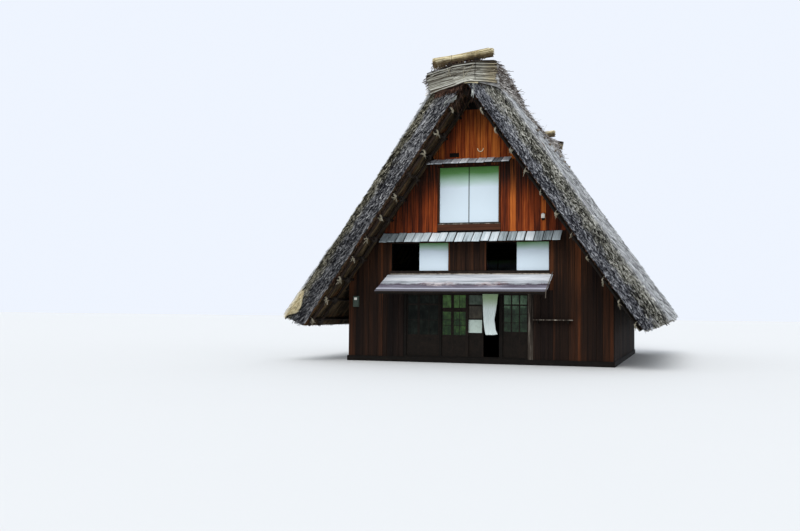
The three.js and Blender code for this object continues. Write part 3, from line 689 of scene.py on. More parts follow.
# Puts a finished mesh in the scene as a piece, with its finishes, replaced nodes and body
def addPiece(name, mesh, finish, slot, *nodes, body="house"):
    piece = bpy.data.objects.new(name, mesh)
    if not mesh.materials:
        for label in [finish] if isinstance(finish, str) else finish:
            mesh.materials.append(finishes[label])
    scene.collection.objects.link(piece)
    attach(piece, body)
    if nodes:
        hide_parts(*nodes)
    return piece


# The two ends of the house: the rear gable is the front one turned half round
def turned(mesh, end):
    if end == "rear":
        mesh.transform(Matrix.Rotation(math.pi, 4, "Z"))
    return mesh


# A node's box as it would be on the front gable
def leafBox(node, end):
    low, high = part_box(node)
    if end == "front":
        return low, high
    return Vector((-high.x, -high.y, low.z)), Vector((-low.x, -low.y, high.z))


# Many boxes as one piece: each is its low corner, high corner and tone
def addBoxes(name, boxes, finish, slot, *nodes, bevel=0.003, end="front", body="house", place=None):
    points, faces, tones = [], [], []
    for low, high, tone in boxes:
        base = len(points)
        points += itertools.product(*zip(low, high))
        for face in ((0, 1, 3, 2), (4, 6, 7, 5), (0, 4, 5, 1), (2, 3, 7, 6), (0, 2, 6, 4), (1, 5, 7, 3)):
            faces.append([base + corner for corner in face])
            tones.append(tone)
    mesh = bevelled(meshFrom(name, points, faces, tones), bevel)
    if place is not None:
        mesh.transform(place)
    return addPiece(name, turned(mesh, end), finish, slot, *nodes, body=body)


# The skin of a bent block. place(a, b, c) gives a point for shares from 0 to 1 in its three directions,
# and zones names the material number of each of its six sides. A side in flat is one plain face.
def blockSkin(name, counts, place, zones, flat=()):
    index, points, faces, labels = {}, [], [], []
    for axis in range(3):
        first, second = [other for other in range(3) if other != axis]
        for end in (0, 1):
            side = "abc"[axis] + str(end)

            def at(i, j):
                cell = [0, 0, 0]
                cell[axis], cell[first], cell[second] = counts[axis] * end, i, j
                cell = tuple(cell)
                if cell not in index:
                    index[cell] = len(points)
                    points.append(place(*(step / count for step, count in zip(cell, counts))))
                return index[cell]

            wide, high = counts[first], counts[second]
            if side in flat:
                made = [[at(i, 0) for i in range(wide)] + [at(wide, j) for j in range(high)]
                        + [at(i, high) for i in range(wide, 0, -1)] + [at(0, j) for j in range(high, 0, -1)]]
            else:
                made = [(at(i, j), at(i + 1, j), at(i + 1, j + 1), at(i, j + 1))
                        for i in range(wide) for j in range(high)]
            faces += made
            labels += [zones.get(side, 0)] * len(made)
    mesh = meshFrom(name, points, faces, zones=labels)
    faceOutwards(mesh)
    return mesh


# The faces of one material number, alone, each with the direction that straw on it takes
def emitter(mesh, zone, aim, wanted=lambda at: True):
    chosen = [tuple(face.vertices) for face in mesh.polygons
              if face.material_index == zone and wanted(face.center)]
    used = sorted({corner for face in chosen for corner in face})
    number = {old: new for new, old in enumerate(used)}
    made = bpy.data.meshes.new("emitter")
    points = [mesh.vertices[old].co.copy() for old in used]
    made.from_pydata(points, [], [[number[old] for old in face] for face in chosen])
    aims = made.attributes.new("aim", "FLOAT_VECTOR", "FACE")
    for face in made.polygons:
        aims.data[face.index].vector = aim(face.center) if callable(aim) else aim
    made.update()
    return made


# Node trees that grow the repeated parts

socketKinds = {float: "Float", int: "Int", tuple: "Vector", type(None): "Material"}


class Flow(Maker):
    def __init__(self, name, inputs):
        super().__init__(bpy.data.node_groups.new(name, "GeometryNodeTree"))
        face = self.tree.interface
        face.new_socket("Geometry", in_out="INPUT", socket_type="NodeSocketGeometry")
        for label, value in inputs.items():
            kind = "NodeSocket" + socketKinds[type(value)]
            socket = face.new_socket(label, in_out="INPUT", socket_type=kind)
            if value is not None:
                socket.default_value = value
        face.new_socket("Geometry", in_out="OUTPUT", socket_type="NodeSocketGeometry")
        self.start = self.tree.nodes.new("NodeGroupInput")
        self.end = self.tree.nodes.new("NodeGroupOutput")

    # the inputs as plugs, in their order, with the geometry first and the material last
    def given(self):
        return [Plug(self.tree, socket) for socket in self.start.outputs if socket.name]

    def draw(self, low, high, seed):
        if isinstance(low, tuple):
            settings, out = {"data_type": "FLOAT_VECTOR"}, 0
            return self.add("FunctionNodeRandomValue", settings, {0: low, 1: high, 8: seed}, out)
        return self.add("FunctionNodeRandomValue", {"data_type": "FLOAT"}, {2: low, 3: high, 8: seed}, out=1)

    # sets one shape on every point, each with its own tone
    def repeat(self, points, shape, turn, size, seed):
        placed = self.add("GeometryNodeInstanceOnPoints", {}, {
            "Points": points, "Instance": shape, "Rotation": turn, "Scale": size})
        settings = {"data_type": "FLOAT", "domain": "INSTANCE"}
        sockets = {"Geometry": placed, "Name": "tone", "Value": self.draw(0.0, 1.0, seed)}
        return self.close(self.add("GeometryNodeStoreNamedAttribute", settings, sockets))

    def close(self, geometry):
        real = self.add("GeometryNodeRealizeInstances", {}, {"Geometry": geometry})
        sockets = {"Geometry": real, "Material": self.given()[-1]}
        feed(self.tree, self.end.inputs[0], self.add("GeometryNodeSetMaterial", {}, sockets))
        return self.tree


# Straws strewn over a surface, each along the surface's aim with some spread
def strawFlow():
    flow = Flow("straw_scatter", {
        "Density": 100.0, "Length": 0.15, "Thickness": 0.006, "Spread": 0.3, "Overhang": 0.0,
        "Seed": 1, "Material": None})
    surface, density, length, thickness, spread, overhang, seed = flow.given()[:-1]
    points = flow.add("GeometryNodeDistributePointsOnFaces", {}, {
        "Mesh": surface, "Density": density, "Seed": seed})
    aim = flow.add("GeometryNodeInputNamedAttribute", {"data_type": "FLOAT_VECTOR"}, {"Name": "aim"})
    loose = flow.vectors("SCALE", flow.draw((-1, -1, -1), (1, 1, 1), seed + 1), scale=spread)
    along = flow.vectors("ADD", aim, loose)
    turn = flow.add("FunctionNodeAlignRotationToVector", {"axis": "Z"}, {"Vector": along})
    straw = flow.add("GeometryNodeMeshCylinder", {}, {"Vertices": 3, "Radius": thickness, "Depth": length})
    out = flow.vector(z=length * overhang)
    straw = flow.add("GeometryNodeTransform", {}, {"Geometry": straw, "Translation": out})
    size = flow.vector(flow.draw(0.6, 1.4, seed + 2), flow.draw(0.6, 1.4, seed + 3),
                       flow.draw(0.5, 1.3, seed + 4))
    return flow.repeat(points, straw, turn, size, seed + 5)


# A bundle of straws between two points
def bundleFlow():
    flow = Flow("straw_bundle", {
        "From": (0, 0, 0), "To": (1, 0, 0), "Radius": 0.1, "Straws": 200, "Thickness": 0.006, "Jitter": 0.05,
        "Seed": 1, "Material": None})
    start, stop, radius, count, thickness, jitter, seed = flow.given()[1:-1]
    whole = flow.vectors("SUBTRACT", stop, start)
    length = flow.vectors("LENGTH", whole, out="Value")
    middle = flow.vectors("SCALE", flow.vectors("ADD", stop, start), scale=0.5)
    angle = flow.draw(0.0, 2 * math.pi, seed + 1)
    reach = flow.draw(0.12, 1.0, seed + 2) ** 0.5 * radius
    along = flow.draw(-1.0, 1.0, seed + 3) * jitter
    offset = flow.vector(along, flow.maths("COSINE", angle) * reach, flow.maths("SINE", angle) * reach)
    place = flow.vectors("ADD", middle, offset)
    points = flow.add("GeometryNodePoints", {}, {"Count": count, "Position": place})
    loose = flow.draw((-0.035, -0.035, -0.035), (0.035, 0.035, 0.035), seed + 4)
    along = flow.vectors("ADD", flow.vectors("NORMALIZE", whole), loose)
    turn = flow.add("FunctionNodeAlignRotationToVector", {"axis": "Z"}, {"Vector": along})
    straw = flow.add("GeometryNodeMeshCylinder", {}, {"Vertices": 4, "Radius": thickness, "Depth": length})
    return flow.repeat(points, straw, turn, flow.vector(1.0, 1.0, flow.draw(0.9, 1.0, seed + 5)), seed + 6)


# A row of boards side by side along X, each running out along -Y, with uneven widths, ends and lifts
def boardFlow():
    flow = Flow("board_row", {
        "Boards": 10, "Pitch": 0.25, "Length": 0.4, "Thickness": 0.02, "Unevenness": 0.03, "Lift": 0.006,
        "Twist": 0.03, "Shifts": 0.09, "Seed": 1, "Material": None})
    count, pitch, length, thickness, uneven, lift, twist, shifts, seed = flow.given()[1:-1]
    line = flow.add("GeometryNodeMeshLine", {}, {"Count": count, "Offset": flow.vector(pitch)})
    nudge = flow.vector(flow.draw(-0.7, 0.7, seed + 1) * shifts * pitch,
                        flow.draw(-1.0, 1.0, seed + 2) * uneven, flow.draw(-1.0, 1.0, seed + 3) * lift)
    line = flow.add("GeometryNodeSetPosition", {}, {"Geometry": line, "Offset": nudge})
    size = flow.vector(pitch * (flow.draw(-1.0, 1.0, seed + 4) * shifts + 0.89), length, thickness)
    corners = {"Vertices " + axis: 2 for axis in "XYZ"}
    board = flow.add("GeometryNodeMeshCube", {}, {"Size": (1, 1, 1), **corners})
    board = flow.add("GeometryNodeTransform", {}, {"Geometry": board, "Translation": (0.5, -0.5, 0)})
    tilt = flow.vector(flow.draw(-0.4, 0.4, seed + 5) * twist, flow.draw(-1.0, 1.0, seed + 6) * twist,
                       flow.draw(-0.6, 0.6, seed + 7) * twist)
    return flow.repeat(line, board, tilt, size, seed + 8)


# Round poles, stalks and ropes: a tube along every line of edges, as thick as its points say
def tubeFlow():
    flow = Flow("tubes", {"Sides": 6, "Material": None})
    thick = flow.add("GeometryNodeInputNamedAttribute", {"data_type": "FLOAT"}, {"Name": "thick"})
    paths, sides, _ = flow.given()
    line = flow.add("GeometryNodeMeshToCurve", {}, {"Mesh": paths})
    ring = flow.add("GeometryNodeCurvePrimitiveCircle", {}, {"Resolution": sides, "Radius": 1.0})
    return flow.close(flow.add("GeometryNodeCurveToMesh", {}, {
        "Curve": line, "Profile Curve": ring, "Scale": thick, "Fill Caps": True}))


flows = {"straw": strawFlow(), "bundle": bundleFlow(), "boards": boardFlow(), "tubes": tubeFlow()}
print("node trees ready")


# Tubes as one piece: each run is its points, its radius at the start and at the end, and its tone
def addTubes(name, runs, finish, slot, *nodes, sides=6):
    points, edges, thick, tones = [], [], [], []
    for path, (startRadius, endRadius), tone in runs:
        first, last = len(points), len(path) - 1
        points += path
        thick += [startRadius + (endRadius - startRadius) * i / last for i in range(last + 1)]
        tones += [tone] * (last + 1)
        edges += [(first + i, first + i + 1) for i in range(last)]
    mesh = bpy.data.meshes.new("paths")
    mesh.from_pydata(points, edges, [])
    for label, values in (("thick", thick), ("tone", tones)):
        mesh.attributes.new(label, "FLOAT", "POINT").data.foreach_set("value", values)
    made = grow(flows["tubes"], {"Sides": sides, "Material": finishes[finish]}, mesh)
    return addPiece(name, made, finish, slot, *nodes)


# A ring of rope round a pole or a crossing, square to its axis
def ringPath(centre, axis, radius, squash=1.0, steps=10):
    across = axis.orthogonal().normalized()
    up = axis.cross(across).normalized()
    turns = [2 * math.pi * i / steps for i in range(steps + 1)]
    return [centre + across * (math.cos(turn) * radius) + up * (math.sin(turn) * radius * squash)
            for turn in turns]


# Thatched slopes: a long body, and at each gable a verge whose cut face shows the straw

slopes = {
    "alongStep": 0.08, "ridgeStep": 0.08, "depthCount": 8,
    "bodyEnd": 0.15,                  # the body stops this far behind the verge's face
    "vergeDepth": 0.36, "vergeRows": 5, "vergeStep": 0.028,
    "roundEdge": 0.035, "roundEave": 0.15,
    "looseFrom": 5.5, "looseAbove": 2.2,   # loose straw hangs from a verge past this Y and above this Z
    "clearEave": 0.22,                # the slopes' straw keeps this far from the eave
}
# finish, straws to a square metre, length, radius, spread, overhang, seed
straws = {
    "slope_straw": ("slope", 105, 0.26, 0.007, 0.07, 0.2, 31),
    "slope_strands": ("slope", 18, 0.55, 0.010, 0.05, 0.0, 35),
    "slope_tufts": ("slope", 15, 0.30, 0.012, 0.10, 0.3, 38),
    "eave_straw": ("eave", 420, 0.07, 0.006, 0.16, 0.1, 41),
    "verge_straw": ("verge", 560, 0.13, 0.007, 0.28, 0.15, 51),
    "verge_strands": ("verge", 170, 0.19, 0.013, 0.34, 0.1, 151),
    "loose_straw": ("darkStalk", 265, 0.11, 0.008, 0.7, 0.1, 171),
    "ridge_top_straw": ("ridge", 170, 0.24, 0.006, 0.16, 0.0, 61),
    "left_ridge_straw": ("flank", 380, 0.17, 0.008, 0.20, 0.15, 63),
    "right_ridge_straw": ("flank", 380, 0.17, 0.008, 0.38, 0.3, 65),
    "right_ridge_straw_loose": ("flank", 60, 0.26, 0.006, 0.9, 0.5, 164),
}


def strew(prefix, kind, source, slot="thatch", step=0):
    finish, density, length, thickness, spread, overhang, seed = straws[kind]
    mesh = grow(flows["straw"], {
        "Density": density, "Length": length, "Thickness": thickness, "Spread": spread,
        "Overhang": overhang, "Seed": seed + step, "Material": finishes[finish]}, source)
    addPiece(prefix + kind, mesh, finish, slot)


# Distance down a slope and depth into it, for a share of its length and one of its thickness
def slopeSpan(a, c):
    depth = roof["thickness"] * c
    top = roof["capEdge"] / cosPitch
    top += (roof["thickness"] * tanPitch - top) * depth / roof["thickness"]
    return top + (roof["eaveDown"] - roof["eaveCut"] * depth / roof["thickness"] - top) * a, depth


def slopeSag(side, down):
    most = roof["sagLeft"] if side < 0 else roof["sagRight"]
    return most * max(0, 1 - ((down - roof["sagMiddle"]) / roof["sagReach"]) ** 2)


# How far the outer face lies under its plane, with the rounding towards the verges
def outerDip(side, down, y):
    swell = 0.018 * ripple(down / 1.5, y / 1.1, 3 * side) + 0.020 * ripple(down / 0.7, y / 0.2, 7 * side)
    ragged = 0.015 * ripple(down / 0.14, y / 0.3, 11)
    turn, fall = (
        edge - math.sqrt(max(0, edge ** 2 - max(0, edge - left) ** 2)) if left < edge else 0
        for edge, left in ((slopes["roundEdge"], roof["verge"] - abs(y)),
                           (slopes["roundEave"], max(0, roof["eaveDown"] - down))))
    return slopeSag(side, down) - swell - ragged + turn + fall * 0.8


def bodyPlace(side):
    half = roof["verge"] - slopes["bodyEnd"]

    def place(a, b, c):
        y = -half + 2 * half * b
        down, depth = slopeSpan(a, c)
        dip = outerDip(side, down, y) * (1 - c)
        tip = 0.03 * ripple(y / 0.5, c * 2, 5) * blendSteps(0.97, 1, a)
        return onSlope(side, down + tip, depth + dip, y)

    return place


def vergePlace(side, end):
    def place(a, b, c):
        y = roof["verge"] - slopes["vergeDepth"] * b ** 1.5
        down, depth = slopeSpan(a, c)
        stroke = 0.020 * ripple(down / 0.10, depth / 0.035, 13 * side + 5 * end)
        clump = 0.026 * ripple(down / 0.42, depth / 0.13, 17 * side + 5 * end)
        dip = (outerDip(side, down, y) + 0.02 * blendSteps(0.7, 1, b)) * (1 - c)
        inner = 0.016 * ripple(down / 0.09, b * 2, 23 * side) * blendSteps(0.75, 1, c)
        front = (stroke + clump) * (1 - b) ** 2
        tip = 0.02 * ripple(y / 0.1, c * 8, 5) * blendSteps(0.985, 1, a)
        return onSlope(side, down + tip, depth + dip - inner, end * (y + front))

    return place


def makeSlope(side, name):
    length = roof["eaveDown"] - roof["thickness"] * tanPitch
    counts = (round(length / slopes["alongStep"]),
              round(2 * roof["verge"] / slopes["ridgeStep"]), slopes["depthCount"])
    zones = {"c0": 0, "c1": 1, "a1": 2, "a0": 1, "b0": 1, "b1": 1}
    mesh = blockSkin(name + "_thatch_body", counts, bodyPlace(side), zones)
    smoothShade(mesh)
    addPiece(name + "_thatch_body", mesh, ["slope", "soffit", "eave"], "thatch", name + "_thatch")
    downAim = Vector((side * cosPitch, 0, -sinPitch))
    outAim = Vector((side * sinPitch, 0, cosPitch))
    lowest = roof["apex"] - (roof["eaveDown"] - slopes["clearEave"]) * sinPitch
    for kind, rise in (("slope_straw", 0.03), ("slope_strands", 0.02), ("slope_tufts", 0.11)):
        source = emitter(mesh, 0, downAim + outAim * rise, lambda at: at.z > lowest)
        strew(name + "_", kind, source, step=side)
    strew(name + "_", "eave_straw", emitter(mesh, 2, downAim), step=side)
    for gable, end in ends.items():
        makeVerge(side, end, gable + "_" + name, length, downAim)


def makeVerge(side, end, label, length, downAim):
    counts = (round(length / slopes["vergeStep"]), slopes["vergeRows"],
              round(roof["thickness"] / slopes["vergeStep"]))
    zones = {"b0": 0, "c0": 1, "c1": 2, "a1": 3, "a0": 2, "b1": 2}
    mesh = blockSkin(label + "_verge", counts, vergePlace(side, end), zones, flat=("b1",))
    smoothShade(mesh)
    addPiece(label + "_verge", mesh, ["verge", "slope", "soffit", "eave"], "thatch")
    for kind in ("verge_straw", "verge_strands"):
        source = emitter(mesh, 0, downAim + Vector((0, end * 0.45, 0)))
        strew(label + "_", kind, source, step=side + 3 * end)
    under = Vector((0, 0, -1)) + downAim * 0.6
    ahead = lambda at: abs(at.y) > slopes["looseFrom"] and at.z > slopes["looseAbove"]
    strew(label + "_", "loose_straw", emitter(mesh, 2, under, ahead), step=side + 3 * end)


sides = {"left": -1, "right": 1}         # seen from the front
for name, side in sides.items():
    makeSlope(side, name)
print("thatched slopes made")


# Ridge cap: layers of straw laid across the ridge, built up at both gables

cap = {
    "halfLength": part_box("ridge_cap")[1].y,
    "top": [(-1.13, 8.15), (-1.06, 8.24), (-0.35, 8.41), (0.38, 8.48), (0.92, 8.45), (1.06, 8.40)],
    # along the ridge from the front: the step of 24, how far the top lies lower, how far its edges draw in
    "run": [(0, 0, 0), (1, 0, 0), (3, 0.05, 0), (7, 0.20, 0.02), (8, 0.29, 0.13),
            (19, 0.30, 0.13), (22, 0.27, 0.13), (23, 0.04, 0.10), (24, 0.04, 0.10)],
    "firm": 0.6,                        # the top doesn't draw in within this distance of its middle line
    "tuckTop": 0.10, "tuckFoot": 0.13,  # how far the right flank's top and the left one's foot draw in
    "counts": (46, 150, 22),
    "layers": [0.0, 0.30, 0.58, 1.0],   # shares of the depth where one layer ends and the next starts
    "layerOut": [0.0, -0.03, 0.02],     # how far each layer stands out
    "groove": 0.03,
}


# What a table of steps gives at a value: every column after the first, straight between two rows
def readTable(rows, value):
    for first, second in zip(rows, rows[1:]):
        if value <= second[0] + 1e-6:
            break
    share = min(1, max(0, (value - first[0]) / (second[0] - first[0])))
    return [start + (stop - start) * share for start, stop in zip(first[1:], second[1:])]


def capRun(y):
    return readTable(cap["run"], (y + cap["halfLength"]) / (2 * cap["halfLength"]) * 24)


def capTop(x):
    return readTable(cap["top"], x)[0]


def capPlace(a, b, c):
    left, right = cap["top"][0][0], cap["top"][-1][0]
    y = -cap["halfLength"] + 2 * cap["halfLength"] * b
    x = left + (right - left) * a
    drop, narrow = capRun(y)
    slack = abs(2 * a - 1) ** 6
    layer = sum(1 for start in cap["layers"][1:-1] if c > start)
    groove = min(abs(c - start) for start in cap["layers"]) < cap["groove"]
    high = capTop(x) - drop
    low = roof["innerApex"] - 0.27 * abs(x) - 0.03 * slack
    z = high + (low - high) * c
    past = max(0, (abs(x) - cap["firm"]) / (roof["capEdge"] - cap["firm"]))
    x -= math.copysign(narrow, x) * past * (1 - c)
    x += slack * (cap["tuckFoot"] * c if x < 0 else -cap["tuckTop"] * (1 - 0.5 * c))
    ragged = ripple(y / 0.22, c * 9, 3 + layer) * 0.035 + ripple(y / 0.07, c * 14, 9) * 0.02
    x += math.copysign(1, x) * slack * (ragged + cap["layerOut"][layer] - 0.03 * groove)
    z += 0.022 * ripple(x / 0.5, y / 0.12, 5) * (1 - c) + 0.02 * ripple(x / 0.9, y / 0.6, 8) * (1 - c)
    front = blendSteps(0.985, 1, abs(2 * b - 1))
    stroke = 0.025 * ripple(x / 0.5, c * 11, 21) + 0.015 * ripple(x / 0.3, c * 26, 22)
    y += math.copysign(1, y) * front * (stroke - 0.035 * groove)
    return Vector((x, y, z))


def capAim(at):
    rise = (capTop(at.x + 0.05) - capTop(at.x - 0.05)) / 0.1
    return Vector((1, 0, rise * 0.9)).normalized()


def makeCap():
    zones = {"c0": 0, "c1": 1, "a0": 2, "a1": 3, "b0": 4, "b1": 4}
    mesh = blockSkin("ridge_cap_body", cap["counts"], capPlace, zones)
    smoothShade(mesh)
    looks = ["ridge", "soffit", "flank", "flank", "ridge"]
    addPiece("ridge_cap_body", mesh, looks, "ridge_thatch", "ridge_cap")
    leftAim, rightAim = Vector((-0.8, 0, -0.6)), Vector((0.8, 0, -0.6))
    for kind, zone, aim in (("ridge_top_straw", 0, capAim), ("left_ridge_straw", 2, leftAim),
                            ("right_ridge_straw", 3, rightAim), ("right_ridge_straw_loose", 3, rightAim)):
        strew("", kind, emitter(mesh, zone, aim), "ridge_thatch")


# The layers of stalks at each end of the ridge. From its own gable, their left half hangs over the verge
layers = {
    "rows": 9, "stalks": 9, "radius": 0.011, "jitter": 0.026, "steps": 9,
    "clumps": [(-1.12, 0.97), (-1.12, 0.40), (-0.40, 0.97)],   # where each clump of a row starts and stops
    "leanLeft": 0.15,                   # how much further right the lowest row starts
    "ragged": 0.10,
    "tidy": 0.5,                        # right of the middle the stalks lie this much more evenly
    "proud": (0.0, 0.05),               # past the end of the cap
    "low": [(-1.13, 7.58), (-1.01, 7.64), (0.11, 7.96), (0.33, 7.92), (0.95, 7.80), (1.13, 7.77)],
    "dark": {"stalks": 70, "depth": 0.09, "inset": 0.03, "from": -0.88, "to": -0.12},
    "fringe": {"stalks": 190, "from": -0.82, "to": -0.06, "length": (0.08, 0.20)},
    "strip": {"stalks": 16, "from": 0.03, "to": 0.36},
    "ties": [(-0.40, 0.0, 0.5), (0.33, 0.0, 0.95)], "tieRadius": 0.008,
    # pale cords, from X and share of the height to X and share
    "cords": [(-0.48, 0.10, -0.38, 0.52), (-0.36, 0.06, -0.46, 0.50), (0.02, 0.72, 0.28, 0.16),
              (0.02, 0.20, 0.0, 0.85)],
}


# Height of the layers, from X seen from its gable and a share of their depth
def layerZ(x, end, share):
    top = capTop(-end * x) - capRun(end * cap["halfLength"])[0]
    low = readTable(layers["low"], x)[0]
    return top + (low - top) * share


def onLayers(x, y, end, share, lift=0):
    return Vector((-end * x, y, layerZ(x, end, share) + lift))


def layerStalks(draw, end):
    runs = []
    for row in range(layers["rows"]):
        rowTone, level = draw.uniform(0.40, 0.56), (row + 0.5) / layers["rows"]
        for number, (left, right) in enumerate(layers["clumps"]):
            tone, shift = rowTone + draw.gauss(0, 0.07) - 0.07 * (number == 1), draw.gauss(0, 0.012)
            stop, slant = right - draw.uniform(0, layers["ragged"]), draw.gauss(0, 0.035)
            for _ in range(layers["stalks"]):
                first = left + layers["leanLeft"] * level + draw.uniform(0, 0.05)
                last = stop - draw.uniform(0, 0.04)
                y = end * (cap["halfLength"] + draw.uniform(*layers["proud"]))
                offset, lean = shift + draw.gauss(0, layers["jitter"]), draw.gauss(slant, 0.025)
                path = []
                for i in range(layers["steps"]):
                    share = i / (layers["steps"] - 1)
                    x = first + (last - first) * share
                    even = 1 - (1 - layers["tidy"]) * blendSteps(0.1, 0.6, x)
                    z = layerZ(x, end, level) + (offset + lean * (share - 0.5)) * even
                    z += 0.022 * ripple(x * 2.2, row * 3.1 + number, end * 7) * even
                    path.append(Vector((-end * x, y, min(z, layerZ(x, end, 0) + 0.01))))
                thick = layers["radius"] * draw.uniform(0.7, 1.3)
                loose = row or first > -0.75 and number == 1
                shade = tone + draw.gauss(0, 0.28) if loose else draw.uniform(0, 0.25)
                runs.append((path, (thick, thick * 0.7), min(1, max(0, shade))))
    return runs


# The dark stalks under the layers, which also stand as painted shadow beneath them, and the fringe that
# hangs from them
def underStalks(draw, end):
    runs = []
    dark, fringe = layers["dark"], layers["fringe"]
    for _ in range(dark["stalks"]):
        start, stop = sorted(draw.uniform(dark["from"], dark["to"]) for _ in range(2))
        drop = draw.uniform(0, dark["depth"])
        y = end * (cap["halfLength"] - dark["inset"] + draw.uniform(0, 0.03))
        path = [onLayers(x, y, end, 1, -drop) for x in (start, (start + stop) / 2, stop + 0.1)]
        runs.append((path, (0.011, 0.008), draw.random()))
    for _ in range(fringe["stalks"]):
        x = draw.uniform(fringe["from"], fringe["to"])
        y = end * (cap["halfLength"] - draw.uniform(0.02, 0.09))
        root = onLayers(x, y, end, 1, -draw.uniform(0, 0.05))
        lean = Vector((draw.uniform(-0.5, 0.1) * -end, end * draw.uniform(0, 0.4), -1)).normalized()
        runs.append(hangStraw(root, root + lean * draw.uniform(*fringe["length"]), (0.013, 0.007), draw))
    return runs


def hangStraw(root, tip, radii, draw):
    return [root, (root + tip) / 2, tip], radii, draw.random()


def endLayers(end, label):
    draw = random.Random(65 + end)
    runs, darkRuns = layerStalks(draw, end), underStalks(draw, end)
    strip, stripRuns = layers["strip"], []
    for _ in range(strip["stalks"]):
        y = end * (cap["halfLength"] + draw.uniform(-0.02, 0.02))
        drop = draw.uniform(0.0, 0.045)
        spread = [strip["from"] + draw.uniform(-0.05, 0.05), 0.2, strip["to"] + draw.uniform(-0.05, 0.05)]
        path = [onLayers(x, y, end, 1, -drop) for x in spread]
        stripRuns.append((path, (0.010, 0.008), draw.uniform(0.3, 1)))
    addTubes(label + "_ridge_layers", runs, "stalk", "ridge_thatch", sides=5)
    addTubes(label + "_ridge_under_layer", darkRuns, "darkStalk", "ridge_thatch", sides=5)
    addTubes(label + "_ridge_strip", stripRuns, "fresh", "ridge_thatch", sides=5)
    y = end * (cap["halfLength"] + layers["proud"][1] + layers["tieRadius"])
    radii = (layers["tieRadius"],) * 2
    ties, cords = [], []
    for x, top, foot in layers["ties"]:
        path = []
        for i in range(4):
            path.append(onLayers(x, y, end, top + (foot - top) * i / 3, 0.02))
            path[i].x = -end * (x + draw.uniform(-0.015, 0.015))
        ties.append((path, radii, draw.random()))
    for x0, top, x1, foot in layers["cords"]:
        first, last = onLayers(x0, y + 0.008 * end, end, top), onLayers(x1, y + 0.008 * end, end, foot)
        middle = (first + last) / 2 + Vector((draw.uniform(-0.03, 0.03), 0, draw.uniform(-0.02, 0.02)))
        cords.append(([first, middle, last], radii, draw.random()))
    addTubes(label + "_ridge_ropes", ties, "darkRope", "ridge_thatch")
    addTubes(label + "_ridge_cords", cords, "paleRope", "ridge_thatch", sides=5)


makeCap()
for label, end in ends.items():
    endLayers(end, label)
print("ridge cap made")


# Straw bundles at both ends of the ridge, small ones along it, and the two poles under them

bundles = {
    "straws": 430, "thickness": 0.0085,
    "poleX": [-0.41, 0.34], "poleRadius": 0.05,
    "tieRadius": 0.009, "tieTurns": 3, "tieStep": 0.022,        # ropes round an end bundle, over each pole
    "lump": {"radius": 0.030, "turns": 4, "drop": 0.09},        # dark rope under the bundle at each pole
    "hanging": 110, "hangReach": (0.10, 0.30), "old": 90,
    "small": {"at": [-3.9, -1.95, 0, 1.95, 3.9], "from": -0.64, "to": 0.57, "radius": 0.068, "lift": 0.10,
              "straws": 110, "thickness": 0.007},
}


def addBundle(name, start, stop, radius, straws, thickness, finish, slot, seed, *nodes):
    mesh = grow(flows["bundle"], {
        "From": start, "To": stop, "Radius": radius, "Straws": straws, "Thickness": thickness,
        "Jitter": 0.05, "Seed": seed, "Material": finishes[finish]})
    addPiece(name, mesh, finish, slot, *nodes)


def endBundle(node, seed):
    low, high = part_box(node)
    draw = random.Random(seed)
    radius = (high.y - low.y) / 2
    tilt = math.atan2(high.z - low.z - 2 * radius, high.x - low.x)
    shift = radius * math.sin(tilt)
    y = (low.y + high.y) / 2
    start, stop = Vector((low.x + shift, y, low.z + radius)), Vector((high.x - shift, y, high.z - radius))
    along = (stop - start).normalized()
    addBundle(node + "_straw", start, stop, radius * 0.92, bundles["straws"], bundles["thickness"],
              "fresh", "new_straw", seed, node)
    ropes, lumps, lump = [], [], bundles["lump"]
    for x in bundles["poleX"]:
        for turn in range(bundles["tieTurns"]):
            centre = start + along * ((x - start.x) / along.x + (turn - 1) * bundles["tieStep"])
            ropes.append((ringPath(centre, along, radius), (bundles["tieRadius"],) * 2, draw.random()))
        foot = start + along * ((x - start.x) / along.x) + Vector((0, 0, -radius))
        for turn in range(lump["turns"]):
            nudge = (draw.uniform(-0.04, 0.04), draw.uniform(-0.05, 0.05),
                     -lump["drop"] * turn / lump["turns"])
            axis = Vector((draw.uniform(-0.4, 0.4), draw.uniform(-0.4, 0.4), 1)).normalized()
            ring = ringPath(foot + Vector(nudge), axis, lump["radius"] * draw.uniform(0.8, 1.6))
            lumps.append((ring, (0.018, 0.018), draw.random()))
    addTubes(node + "_ropes", ropes, "fresh", "new_straw", sides=5)
    addTubes(node + "_lumps", lumps, "darkRope", "new_straw")
    loose, old = [], []
    for straw in range(bundles["hanging"]):
        share = draw.uniform(0.0, 0.30) if straw % 3 else draw.uniform(0.25, 0.95)
        root = start + (stop - start) * share + Vector((0, draw.uniform(-0.08, 0.08), -radius * 0.8))
        reach = draw.uniform(*bundles["hangReach"]) * (1.0 if straw % 3 else 0.6)
        lean = Vector((draw.uniform(-0.9, 0.6), draw.uniform(-0.2, 0.2), -draw.uniform(0.25, 0.7)))
        bend = root + lean * reach * 0.6
        tip = bend + Vector((lean.x * 0.5, lean.y, lean.z * 1.3)) * reach * 0.6
        loose.append(([root, bend, tip], (0.013, 0.007), draw.random()))
    # old straw lies between the bundle and the cap
    for straw in range(bundles["old"]):
        share = draw.uniform(0.12, 0.80)
        root = start + (stop - start) * share + Vector((0, draw.uniform(-0.08, 0.06), -radius * 0.85))
        lean = (draw.uniform(-0.13, 0.13), draw.uniform(-0.03, 0.03), -draw.uniform(0.03, 0.11))
        old.append(hangStraw(root, root + Vector(lean), (0.014, 0.008), draw))
    addTubes(node + "_loose_straw", loose, "fresh", "new_straw", sides=4)
    addTubes(node + "_old_straw", old, "darkStalk", "new_straw", sides=4)


